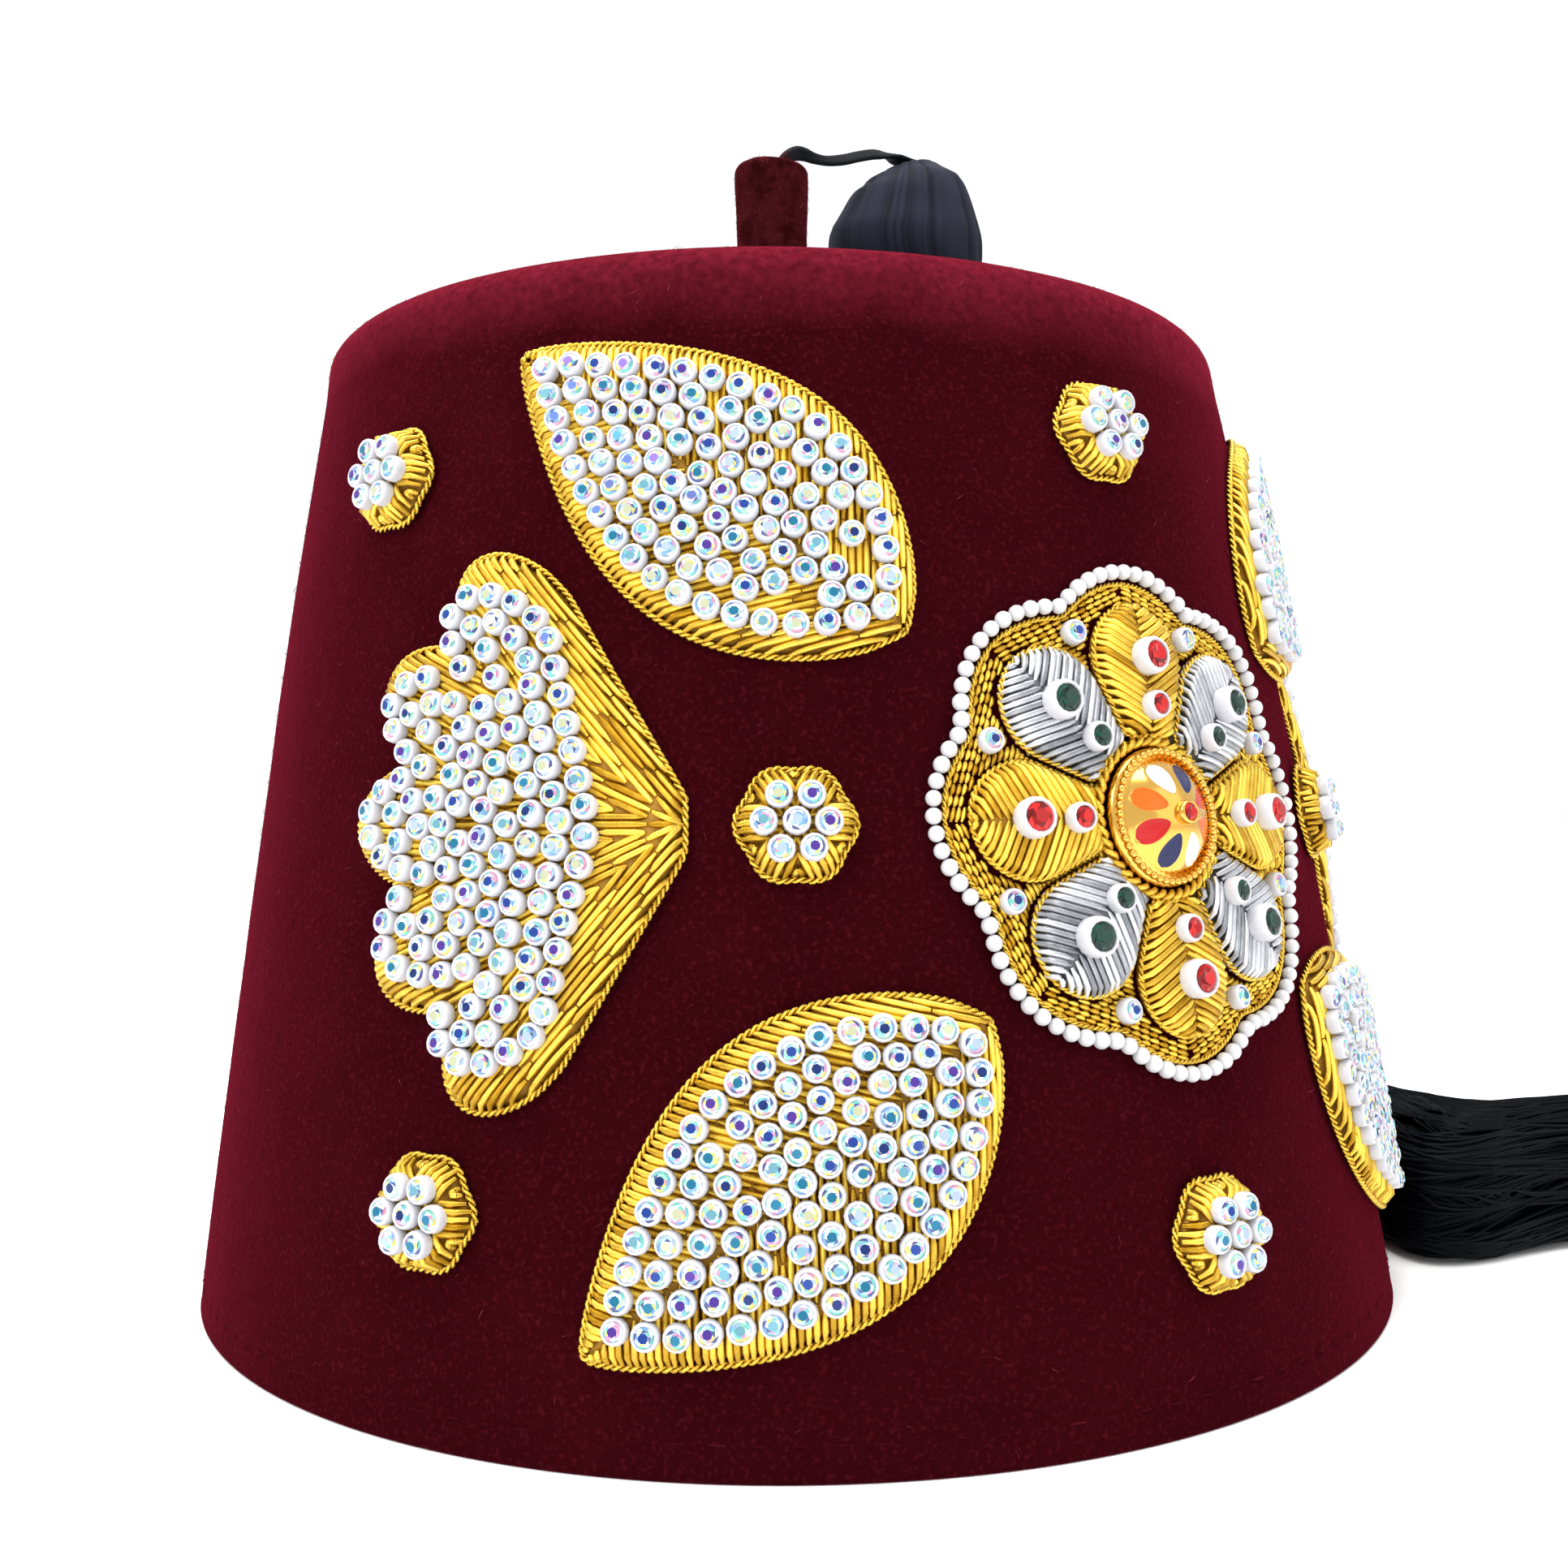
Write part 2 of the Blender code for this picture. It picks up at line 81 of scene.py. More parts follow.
class Graph:
    """Adds and links the nodes of one tree, for shaders and geometry alike."""

    def __init__(self, tree: bpy.types.NodeTree) -> None:
        """Keep the tree that the nodes go into."""
        self.tree = tree

    def add(self, kind: str, inputs: dict[Any, Any] | None = None, **settings: Any) -> bpy.types.Node:
        """Add a node.

        Args:
            kind: Blender's name of the node's type.
            inputs: by socket name or number, a value or the socket that feeds it.
            settings: the node's own properties.

        Returns:
            The new node.
        """
        node = self.tree.nodes.new(kind)
        for key, value in settings.items():
            setattr(node, key, value)
        for key, value in (inputs or {}).items():
            if isinstance(value, Socket):
                self.tree.links.new(value, node.inputs[key])
            else:
                node.inputs[key].default_value = value
        return node

    def out(self, kind: str, inputs: dict[Any, Any] | None = None, **settings: Any) -> Socket:
        """Add a node as `add` does, and give its first output."""
        return self.add(kind, inputs, **settings).outputs[0]

    def math(self, operation: str, *values: Any) -> Socket:
        """The result of a Math node."""
        return self.out("ShaderNodeMath", dict(enumerate(values)), operation=operation)

    def vector(self, operation: str, *values: Any) -> Socket:
        """The vector result of a Vector Math node."""
        return self.out("ShaderNodeVectorMath", dict(enumerate(values)), operation=operation)

    def scaled(self, vector: Any, factor: Any) -> Socket:
        """A vector times a number."""
        return self.out("ShaderNodeVectorMath", {0: vector, "Scale": factor}, operation="SCALE")

    def random(self, low: float, high: float, seed: Any) -> Socket:
        """A random number from low to high for each element."""
        inputs = {2: low, 3: high, "Seed": seed}
        return self.add("FunctionNodeRandomValue", inputs, data_type="FLOAT").outputs[1]

    def named(self, name: str, kind: str = "FLOAT") -> Socket:
        """A geometry tree's named attribute."""
        return self.out("GeometryNodeInputNamedAttribute", {"Name": name}, data_type=kind)

    def store(self, geometry: Any, name: str, value: Any, domain: str) -> Socket:
        """Geometry with a number stored on it under a name."""
        inputs = {"Geometry": geometry, "Name": name, "Value": value}
        return self.out("GeometryNodeStoreNamedAttribute", inputs, domain=domain)

    def attribute(self, name: str) -> Socket:
        """A shader's reading of a stored number."""
        return self.add("ShaderNodeAttribute", attribute_name=name).outputs["Fac"]

    def place(self) -> Socket:
        """A shader's place on Object coordinates."""
        return self.add("ShaderNodeTexCoord").outputs["Object"]

    def noise(self, scale: float, detail: float = 3.0) -> Socket:
        """Noise from 0 to 1 on Object coordinates, with so many features in a metre."""
        mapped = self.out("ShaderNodeMapping", {"Vector": self.place()})
        return self.out("ShaderNodeTexNoise", {"Vector": mapped, "Scale": scale, "Detail": detail})

    def ramp(self, factor: Any, stops: Sequence[tuple[float, Color]], steps: bool = False) -> Socket:
        """A colour read from a ramp.

        Args:
            factor: the place on the ramp.
            stops: places and colours.
            steps: whether the colours change at once, not smoothly.

        Returns:
            The colour socket.
        """
        node = self.add("ShaderNodeValToRGB", {"Fac": factor})
        band = node.color_ramp
        band.interpolation = "CONSTANT" if steps else "LINEAR"
        while len(band.elements) < len(stops):
            band.elements.new(1.0)
        for element, (place, color) in zip(band.elements, stops, strict=True):
            element.position = place
            element.color = color
        return node.outputs["Color"]

    def mix(self, factor: Any, first: Any, second: Any) -> Socket:
        """A colour between two."""
        return self.add("ShaderNodeMix", {0: factor, 6: first, 7: second}, data_type="RGBA").outputs[2]

    def ranged(self, value: Any, low: float, high: float, start: float = 0.0, stop: float = 1.0) -> Socket:
        """A value from low to high, spread from start to stop and held there."""
        inputs = {"Value": value, "From Min": low, "From Max": high, "To Min": start, "To Max": stop}
        return self.out("ShaderNodeMapRange", inputs)

    def span(self, value: Any, start: float, stop: float) -> Socket:
        """A 0 to 1 value spread from start to stop."""
        return self.ranged(value, 0.0, 1.0, start, stop)

    def join(self, parts: Iterable[Socket]) -> Socket:
        """Several geometries as one."""
        joined = self.add("GeometryNodeJoinGeometry")
        for part in parts:
            self.tree.links.new(part, joined.inputs[0])
        return joined.outputs[0]


class Shader(Graph):
    """A new material's tree round its one shader."""

    def __init__(self, name: str) -> None:
        """Make the material."""
        self.material = bpy.data.materials.new(name)
        self.material.use_nodes = True
        super().__init__(self.material.node_tree)
        self.surface = self.tree.nodes["Principled BSDF"]

    def set(self, **values: Any) -> None:
        """Link sockets to the shader's inputs, named with underscores, or set constants on them."""
        for name, value in values.items():
            entry = self.surface.inputs[name.replace("_", " ").title().replace("Ior", "IOR")]
            if isinstance(value, Socket):
                self.tree.links.new(value, entry)
            else:
                entry.default_value = value

    def bump(self, height: Any, strength: float, distance: float) -> None:
        """Give the shader a bump, `distance` in metres deep."""
        inputs = {"Height": height, "Strength": strength, "Distance": distance}
        self.set(normal=self.out("ShaderNodeBump", inputs))


# ---------------- finishes


@dataclass(frozen=True)
class Finish:
    """A finish: its material's name and the numbers that its shader takes."""

    name: str

    def material(self) -> Material:
        """The finish's material, made once."""
        found = bpy.data.materials.get(self.name)
        if found:
            return found
        tree = Shader(self.name)
        self.paint(tree)
        return tree.material

    def paint(self, tree: Shader) -> None:
        """Set the shader's colour, roughness and bump."""
        raise NotImplementedError


@dataclass(frozen=True)
class Wool(Finish):
    """What the felt's skin and its loose fibres share: the paler top, painted as overhead light, and the worn
    places.
    """

    dark: Color = rgb(0.030, 0.0018, 0.0038)
    # painted overhead light: the paler red that the top is painted in
    painted_top_light: Color = rgb(0.185, 0.0150, 0.030)
    worn: float = 0.0  # how dark the worn patches are, up to 1

    @staticmethod
    def painted_light_share(tree: Shader) -> Socket:
        """How much painted overhead light a place has: 0 on the wall, 1 from the edge upwards."""
        leaning = {0: tree.place(), 1: (0.025, -0.017, 1.0)}  # lower towards the front's right
        height = tree.add("ShaderNodeVectorMath", leaning, operation="DOT_PRODUCT").outputs["Value"]
        height = tree.math("ADD", height, tree.span(tree.noise(110, 4), -0.003, 0.003))
        risen = tree.ranged(height, 0.1325, 0.1415)
        return tree.math("MULTIPLY", risen, tree.ranged(height, 0.1442, 0.1460, 1.0, 0.68))

    def rubbed(self, tree: Shader, color: Socket, bare: Color) -> Socket:
        """A colour with the patches where handling has worn the nap, in the same places on all wool."""
        if not self.worn:
            return color
        return tree.mix(tree.ranged(tree.noise(330, 3), 0.44, 0.60, 0.0, self.worn), color, bare)


@dataclass(frozen=True)
class Felt(Wool):
    """Blocked wool felt: a mottled body, short pale fibres and a soft sheen at a glance."""

    dark: Color = rgb(0.0165, 0.0009, 0.0019)
    body: Color = rgb(0.0300, 0.0017, 0.0036)
    fuzz: Color = rgb(0.062, 0.0046, 0.0088)
    # painted overhead light: the paler red that the top is painted in
    painted_top_light: Color = rgb(0.152, 0.0096, 0.0208)
    bloom: Color = rgb(0.86, 0.052, 0.125)
    bloom_weight: float = 0.15
    patch: float = 95.0  # mottles in a metre

    def paint(self, tree: Shader) -> None:
        """Mottle, fibres, and the paler red painted over the top as overhead light, broken into nap streaks.
        """
        mottle = tree.span(tree.noise(self.patch, 4), 0.0, 1.0)
        color = tree.mix(mottle, self.dark, self.body)
        fibre = tree.noise(1700, 4)
        color = tree.mix(tree.math("MULTIPLY", tree.ranged(fibre, 0.52, 0.78), 0.8), color, self.fuzz)
        streaks = tree.ranged(tree.noise(900, 4), 0.02, 0.88)
        # the top painted paler as overhead light, in nap streaks
        color = tree.mix(tree.math("MULTIPLY", self.painted_light_share(tree), streaks), color, self.painted_top_light)
        tree.set(base_color=self.rubbed(tree, color, self.dark), roughness=1.0, specular_ior_level=0.0)
        tree.set(sheen_weight=self.bloom_weight, sheen_roughness=0.42, sheen_tint=self.bloom)
        height = tree.math("ADD", fibre, tree.math("MULTIPLY", tree.noise(420, 3), 0.8))
        tree.bump(height, 0.55, 0.22 * MM)


@dataclass(frozen=True)
class Fuzz(Wool):
    """Single wool fibres that stand off the felt, each a little lighter or darker."""

    light: Color = rgb(0.24, 0.040, 0.055)
    lint: Color = rgb(0.35, 0.075, 0.09)  # the few pale hairs brushed up over the top

    def paint(self, tree: Shader) -> None:
        """A tone for each fibre, a little more along it, paler over the top as painted overhead light, and
        darker patches where the nap is worn.
        """
        shade = tree.attribute("shade")
        tone = tree.math("ADD", shade, tree.span(tree.noise(2500), -0.15, 0.15))
        color = tree.ramp(tone, [(0.0, self.dark), (0.88, self.dark), (1.0, self.light)])
        # fibres over the top painted paler as overhead light
        top = self.painted_light_share(tree)
        color = tree.mix(tree.math("MULTIPLY", top, 0.6), color, self.painted_top_light)
        pale = tree.ranged(shade, 0.82, 0.90, 0.0, 0.8)
        color = tree.mix(tree.math("MULTIPLY", top, pale), color, self.lint)
        tree.set(base_color=self.rubbed(tree, color, rgb(*self.dark[:3], by=0.25)), roughness=0.95)
        tree.set(specular_ior_level=0.0, sheen_weight=0.1, sheen_tint=rgb(0.8, 0.1, 0.16))


@dataclass(frozen=True)
class Purl(Finish):
    """Fine wire wound into a tube: bright metal with a groove at each turn of the wire."""

    dark: Color = rgb(0.44, 0.235, 0.014)
    bright: Color = rgb(0.95, 0.67, 0.10)
    wire: float = 0.17 * MM
    rough: float = 0.27

    def paint(self, tree: Shader) -> None:
        """A tone for each piece of purl, handling marks, and the wound wire."""
        tone = tree.math("ADD", tree.attribute("shade"), tree.span(tree.noise(600), -0.3, 0.3))
        rough = tree.span(tree.noise(900, 2), self.rough - 0.08, self.rough + 0.14)
        base = tree.ramp(tone, [(0.0, self.dark), (0.75, self.bright)])
        tree.set(base_color=base, roughness=rough, metallic=1.0)
        turns = tree.math("MULTIPLY", tree.attribute("along"), 2 * pi / self.wire)
        tree.bump(tree.math("SINE", turns), 0.6, 0.03 * MM)


@dataclass(frozen=True)
class Padding(Finish):
    """Dull yellow thread and felt under the purl, seen only in the chinks."""

    tone: Color = rgb(0.26, 0.135, 0.012)

    def paint(self, tree: Shader) -> None:
        """Thread that varies a little."""
        grain = tree.noise(1500, 3)
        base = tree.mix(grain, self.tone, rgb(*self.tone[:3], by=1.9))
        tree.set(base_color=base, roughness=0.7, metallic=0.35)
        tree.bump(grain, 0.5, 0.1 * MM)


@dataclass(frozen=True)
class Gloss(Finish):
    """A smooth glazed surface: cups, pearls and enamel."""

    first: Color
    second: Color
    rough: float = 0.18
    coat: float = 0.6

    def paint(self, tree: Shader) -> None:
        """Two near colours that drift into each other, under a clear coat."""
        tone = tree.span(tree.noise(260, 2), 0.0, 1.0)
        rough = tree.span(tree.noise(1200, 2), self.rough, self.rough + 0.12)
        tree.set(base_color=tree.mix(tone, self.first, self.second), roughness=rough)
        tree.set(coat_weight=self.coat, coat_roughness=0.06, specular_ior_level=0.3)
        tree.bump(tree.noise(500, 2), 0.12, 0.1 * MM)


@dataclass(frozen=True)
class Crystal(Finish):
    """A foiled stone: each facet is painted its own tint as a painted glint, and the table a deeper one as a
    painted reflection.
    """

    slot: str  # a short name for the stone
    facets: tuple[tuple[float, float, float], ...]
    tables: tuple[tuple[float, float, float], ...]
    metal: float = 0.1

    def paint(self, tree: Shader) -> None:
        """Facet tints painted as glints by each facet's stored random glint, the table's as painted
        reflection, and small flaws in the gloss.
        """
        glint = tree.attribute("glint")
        mixed = []
        for tints in (self.facets, self.tables):
            stops = [(i / len(tints), rgb(*tint)) for i, tint in enumerate(tints)]
            mixed.append(tree.ramp(glint, stops, steps=True))
        base = tree.mix(tree.attribute("table"), *mixed)
        tree.set(base_color=base, roughness=tree.span(tree.noise(800, 2), 0.03, 0.12))
        tree.set(metallic=self.metal, specular_ior_level=0.3, coat_weight=0.25, coat_roughness=0.02)


@dataclass(frozen=True)
class Silk(Finish):
    """Black silk with a cold sheen: threads run along the piece."""

    deep: Color = rgb(0.0018, 0.0021, 0.0034)
    light: Color = rgb(0.0031, 0.0036, 0.0056)
    rough: float = 0.48
    glow: float = 0.022
    shine: float = 0.05
    relief: float = 0.05 * MM
    dyed: Color | None = None  # where the shade goes over 1
    high: tuple[Color, Color] | None = None  # the two tones painted above the hat's edge, as overhead light on the gathered head
    threads: float = 300.0

    def paint(self, tree: Shader) -> None:
        """A tone for each strand, lighter tones painted above the hat's edge as overhead light, and fine
        threads by the stored turn.
        """
        turn = tree.math("MULTIPLY", tree.attribute("around"), 2 * pi * self.threads)
        inputs = {"W": turn, "Scale": 0.03, "Detail": 4}
        fine = tree.out("ShaderNodeTexNoise", inputs, noise_dimensions="1D")
        tone = tree.math("ADD", tree.attribute("shade"), tree.span(tree.noise(130, 3), -0.35, 0.35))
        tone = tree.math("ADD", tone, tree.span(fine, -0.55, 0.55))
        color = tree.ramp(tone, [(0.0, self.deep), (1.0, self.light)])
        # painted overhead light: above the hat's edge the silk is painted in lighter tones
        if self.high:
            height = tree.add("ShaderNodeSeparateXYZ", {0: tree.place()}).outputs[2]
            gathered = tree.ramp(tone, [(0.0, self.high[0]), (1.0, self.high[1])])
            color = tree.mix(tree.ranged(height, 0.155, 0.173), color, gathered)
        if self.dyed:
            color = tree.mix(tree.ranged(tone, 1.3, 2.0), color, self.dyed)
        rough = tree.span(tree.noise(300, 2), self.rough - 0.06, self.rough + 0.1)
        tree.set(base_color=color, roughness=rough, specular_ior_level=self.shine)
        tree.set(sheen_weight=self.glow, sheen_roughness=0.35, sheen_tint=rgb(0.45, 0.52, 0.72))
        tree.bump(tree.math("SINE", turn), 0.5, self.relief)


@dataclass(frozen=True)
class Polished(Finish):
    """Polished plated metal with the faint marks of handling."""

    tone: Color = rgb(0.80, 0.46, 0.085)
    rough: float = 0.12

    def paint(self, tree: Shader) -> None:
        """Slightly worn gloss."""
        worn = tree.noise(240, 4)
        base = tree.mix(tree.span(worn, 0, 0.8), self.tone, rgb(*self.tone[:3], by=0.8))
        tree.set(base_color=base, roughness=tree.span(worn, self.rough - 0.04, self.rough + 0.14))
        tree.set(metallic=1.0, coat_weight=0.3, coat_roughness=0.05)
        tree.bump(worn, 0.1, 0.05 * MM)


class Metal(Enum):
    """The two metals of the laid purl, each with a name."""

    GOLD = "gold_purl"
    SILVER = "silver_purl"


FELT = Felt("blocked felt")
STEM_FELT = Felt(
    "rolled felt",
    dark=rgb(0.0065, 0.0007, 0.0010),
    body=rgb(0.054, 0.0058, 0.0078),
    fuzz=rgb(0.080, 0.0110, 0.0136),
    # painted overhead light on the stem, near its body colour
    painted_top_light=rgb(0.050, 0.0060, 0.0082),
    bloom=rgb(0.80, 0.11, 0.15),
    bloom_weight=0.10,
    patch=250.0,
    worn=0.55,
)
FUZZ = Fuzz("wool fibre")
STEM_FUZZ = Fuzz("stem fibre", dark=rgb(0.044, 0.0052, 0.007), painted_top_light=rgb(0.092, 0.012, 0.0155), worn=0.75)
SEAM_THREAD = Fuzz("seam thread", dark=rgb(0.034, 0.0019, 0.0042), light=rgb(0.055, 0.0045, 0.0085))
PURLS = {
    Metal.GOLD: Purl("gold purl"),
    Metal.SILVER: Purl("silver purl", dark=rgb(0.22, 0.23, 0.25), bright=rgb(0.66, 0.67, 0.70)),
}
PADDINGS = {
    Metal.GOLD: Padding("yellow padding"),
    Metal.SILVER: Padding("grey padding", tone=rgb(0.12, 0.12, 0.13)),
}
CUP_WHITE = Gloss("cup white", rgb(0.64, 0.64, 0.66), rgb(0.54, 0.54, 0.59), coat=0.3)
PEARL = Gloss("pearl glaze", rgb(0.64, 0.64, 0.65), rgb(0.52, 0.52, 0.55), 0.16, 0.6)
# painted glints and reflections: the stones' facets take mixed tints, their tables deeper ones
AURORA = Crystal(
    "aurora crystal",
    "crystal_cups",
    facets=(
        (0.62, 0.70, 0.78), (0.16, 0.34, 0.62), (0.74, 0.78, 0.74), (0.16, 0.52, 0.48),
        (0.70, 0.74, 0.82), (0.74, 0.64, 0.16), (0.40, 0.52, 0.72), (0.62, 0.28, 0.42),
        (0.36, 0.62, 0.50), (0.08, 0.10, 0.26),
    ),
    tables=(
        (0.012, 0.045, 0.26), (0.50, 0.52, 0.34), (0.010, 0.15, 0.26), (0.075, 0.03, 0.26),
        (0.40, 0.50, 0.66), (0.008, 0.025, 0.14), (0.14, 0.34, 0.42),
    ),
    metal=0.35,
)
RUBY = Crystal(
    "ruby crystal",
    "ruby_stone",
    facets=((0.40, 0.002, 0.003), (0.13, 0.001, 0.001), (0.60, 0.010, 0.010), (0.26, 0.001, 0.002)),
    tables=((0.34, 0.002, 0.003), (0.50, 0.005, 0.006)),
)
EMERALD = Crystal(
    "emerald crystal",
    "emerald_stone",
    facets=((0.001, 0.026, 0.016), (0.001, 0.008, 0.006), (0.004, 0.06, 0.036), (0.001, 0.016, 0.01)),
    tables=((0.001, 0.016, 0.010), (0.002, 0.034, 0.02)),
)
POLISHED_GOLD = Polished("polished gold")
ENAMELS = (
    Gloss("red enamel", rgb(0.52, 0.004, 0.005), rgb(0.36, 0.003, 0.004), 0.2, 0.12),
    Gloss("navy enamel", rgb(0.004, 0.010, 0.085), rgb(0.003, 0.007, 0.06), 0.2, 0.12),
    Gloss("white enamel", rgb(0.70, 0.68, 0.62), rgb(0.60, 0.58, 0.54), 0.2, 0.2),
    Gloss("orange enamel", rgb(0.74, 0.13, 0.003), rgb(0.60, 0.09, 0.002), 0.2, 0.12),
)
# painted overhead light: the tassel head's lighter tones above the hat's edge
PAINTED_HEAD_LIGHT = (rgb(0.0016, 0.0018, 0.0030), rgb(0.0170, 0.0196, 0.0340))
SILK = Silk("black silk", high=PAINTED_HEAD_LIGHT)
CORD_SILK = Silk(
    "cord silk",
    deep=rgb(0.003, 0.0034, 0.0046),
    light=rgb(0.0095, 0.0108, 0.0150),
    threads=22,
    dyed=rgb(0.030, 0.0045, 0.0055),
)
HEAD_SILK = Silk("gathered silk", rough=0.55, glow=0.0, high=PAINTED_HEAD_LIGHT)
CORE_SILK = Silk("bundled silk", threads=70, relief=0.2 * MM, high=PAINTED_HEAD_LIGHT)


# ---------------- the hat's form


@dataclass(frozen=True)
class Spot:
    """Where a motif sits: metres across and up from the flower's middle, and its turn."""

    across: float = 0.0
    up: float = 0.0
    turn: float = 0.0


@dataclass(frozen=True)
class HatForm:
    """The felt body's outer form, as the part's source works it out."""

    axis: tuple[float, float] = (-0.0207, 0.0007)
    rim_radius: float = 0.094
    top_radius: float = 0.0716
    height: float = 0.146
    dome: float = 0.0015
    edge_round: float = 0.0055
    bulge: float = 0.0007
    felt: float = 0.0024
    lean: tuple[float, float] = (-0.0022, 0.0015)
    pattern_height: float = 0.072
    sag: float = 0.85 * MM  # of the soft top, at its middle
    sag_way: tuple[float, float] = (0.55, -0.84)  # and twice as much this way
    sag_from: float = 0.12  # the height where it starts
    sag_over: float = 0.026  # the height over which it grows

    @property
    def wall_run(self) -> float:
        """The height at which the wall meets the rounded edge."""
        return self.height - self.edge_round

    @property
    def edge_tilt(self) -> float:
        """The wall's lean where it meets the rounded edge."""
        return float(self.slope(self.wall_run))

    @property
    def flat(self) -> float:
        """The top's radius inside its rounded edge."""
        return self.top_radius - self.edge_round * cos(self.edge_tilt)

    def top(self, share: float) -> float:
        """The top's height at a share of the way out to its rounded edge."""
        return self.height + self.dome * (1 - share**2)

    def radius(self, z: Any) -> Any:
        """The wall's outer radius at a height."""
        t = np.clip(np.asarray(z, dtype=float) / self.wall_run, 0, 1)
        return self.rim_radius + (self.top_radius - self.rim_radius) * t + 4 * self.bulge * t * (1 - t)

    def slope(self, z: Any) -> Any:
        """The wall's lean inwards from upright at a height."""
        t = np.clip(np.asarray(z, dtype=float) / self.wall_run, 0, 1)
        return np.arctan((self.rim_radius - self.top_radius - 4 * self.bulge * (1 - 2 * t)) / self.wall_run)

    def leaned(self, points: Array, heights: Array | None = None) -> Array:
        """Move points from the hat's own axis to the frame, with the lean and sag of the top.

        Args:
            points: points about the hat's axis.
            heights: the heights that the lean goes by, if not the points' own.

        Returns:
            The moved points.
        """
        moved = np.array(points, dtype=float)
        height = moved[..., 2] if heights is None else heights
        over = moved[..., :2] @ np.array(self.sag_way) / self.top_radius
        fade = np.clip((height - self.sag_from) / self.sag_over, 0, 1)
        moved[..., 2] -= self.sag * (1 + np.clip(over, -1, 1)) * fade
        moved[..., 0] += self.axis[0] + self.lean[0] * height / self.height
        moved[..., 1] += self.axis[1] + self.lean[1] * height / self.height
        return moved

    def wall(self, angle: Any, z: Any, out: Any) -> Array:
        """Points `out` off the felt, at angles from the front and heights on the wall."""
        angle, z, out = np.broadcast_arrays(angle, z, out)
        slope = self.slope(z)
        radius = self.radius(z) + out * np.cos(slope)
        places = np.stack([radius * np.sin(angle), -radius * np.cos(angle), z + out * np.sin(slope)], -1)
        return self.leaned(places, z)

    def pattern(self, spot: Spot, flat: Any, out: Any) -> Array:
        """Bend a motif's own flat points, in metres, round the wall at its spot."""
        x, y = np.moveaxis(np.asarray(flat, dtype=float), -1, 0)
        slope = float(self.slope(self.pattern_height))
        turned_x = x * cos(spot.turn) - y * sin(spot.turn)
        turned_y = x * sin(spot.turn) + y * cos(spot.turn)
        middle = self.pattern_height + spot.up * cos(slope)
        z = middle + turned_y * cos(slope)
        return self.wall(spot.across / self.radius(middle) + turned_x / self.radius(z), z, out)

    def facing(self, spot: Spot, flat: Any) -> Array:
        """The directions straight off the wall at a motif's flat points."""
        away = self.pattern(spot, flat, MM) - self.pattern(spot, flat, 0.0)
        return away / norm(away, axis=-1, keepdims=True)


HAT = HatForm()


# ---------------- mesh helpers


def link_object(name: str, data: Any) -> Piece:
    """Put a mesh, a lamp or a camera in the scene as an object of that name."""
    made = bpy.data.objects.new(name, data)
    bpy.context.scene.collection.objects.link(made)
    return made


def dressed(name: str, mesh: Mesh, *finishes: Finish) -> Piece:
    """Put a mesh in the scene in its finishes."""
    for finish in finishes:
        mesh.materials.append(finish.material())
    return link_object(name, mesh)


def store_numbers(mesh: Mesh, name: str, values: Any, domain: str = "POINT") -> None:
    """Store a number, or a vector, for each point or face of a mesh."""
    values = np.asarray(values, dtype=np.float32)
    kind, slot = ("FLOAT_VECTOR", "vector") if values.ndim == 2 else ("FLOAT", "value")
    mesh.attributes.new(name, kind, domain).data.foreach_set(slot, values.ravel())


def plain_mesh(name: str, points: Any, edges: Any = (), faces: Any = (), **numbers: Any) -> Mesh:
    """A mesh of points, edges and faces, with a number or vector stored for each point."""
    mesh = bpy.data.meshes.new(name)
    mesh.from_pydata(np.asarray(points).tolist(), edges, faces)
    for stored, values in numbers.items():
        store_numbers(mesh, stored, values)
    return mesh


def turned_outwards(mesh: Mesh) -> Mesh:
    """Flip a closed mesh whose faces point inwards."""
    bm = bmesh.new()
    bm.from_mesh(mesh)
    if bm.calc_volume(signed=True) < 0:
        mesh.flip_normals()
    bm.free()
    return mesh


def loft(name: str, rings: Array, shades: Array | None = None) -> Mesh:
    """Join rings of points into one closed skin, with a pole at each end.

    Args:
        name: the mesh's name.
        rings: an array of rings, each of the same number of points.
        shades: a shade for each point and pole, if points also keep their share of the way round.

    Returns:
        The mesh, smooth and facing outwards.
    """
    count, sides = rings.shape[:2]
    poles = np.stack([rings[0].mean(axis=0), rings[-1].mean(axis=0)])
    points = np.concatenate([rings.reshape(-1, 3), poles])
    last = (count - 1) * sides
    faces = []
    for start in range(0, last, sides):
        for k in range(sides):
            after = start + (k + 1) % sides
            faces.append((start + k, after, after + sides, start + k + sides))
    for k in range(sides):
        after = (k + 1) % sides
        faces.append((after, k, count * sides))
        faces.append((last + k, last + after, count * sides + 1))
    mesh = plain_mesh(name, points, (), faces)
    if shades is not None:
        share = np.tile(np.abs(np.linspace(-1, 1, sides, endpoint=False)), count)
        store_numbers(mesh, "around", np.concatenate([share, [0.5, 0.5]]))
        store_numbers(mesh, "shade", shades)
    mesh.shade_smooth()
    return turned_outwards(mesh)


def polar(reach: Any, swing: Any, *more: Any) -> Array:
    """Points at distances and at turns from X towards Y, with whatever else they have."""
    return np.stack([reach * np.cos(swing), reach * np.sin(swing), *more], -1)


def clock(reach: Any, swing: Any) -> Array:
    """Flat points at distances and at turns from Y towards X."""
    return polar(reach, swing)[..., ::-1]


def turns(count: int) -> Array:
    """So many even turns, once round."""
    return np.linspace(0, 2 * pi, count, endpoint=False)


def apart(first: Any, second: Any) -> Any:
    """The signed turn from one to the other, at most half way round."""
    return (first - second + pi) % (2 * pi) - pi


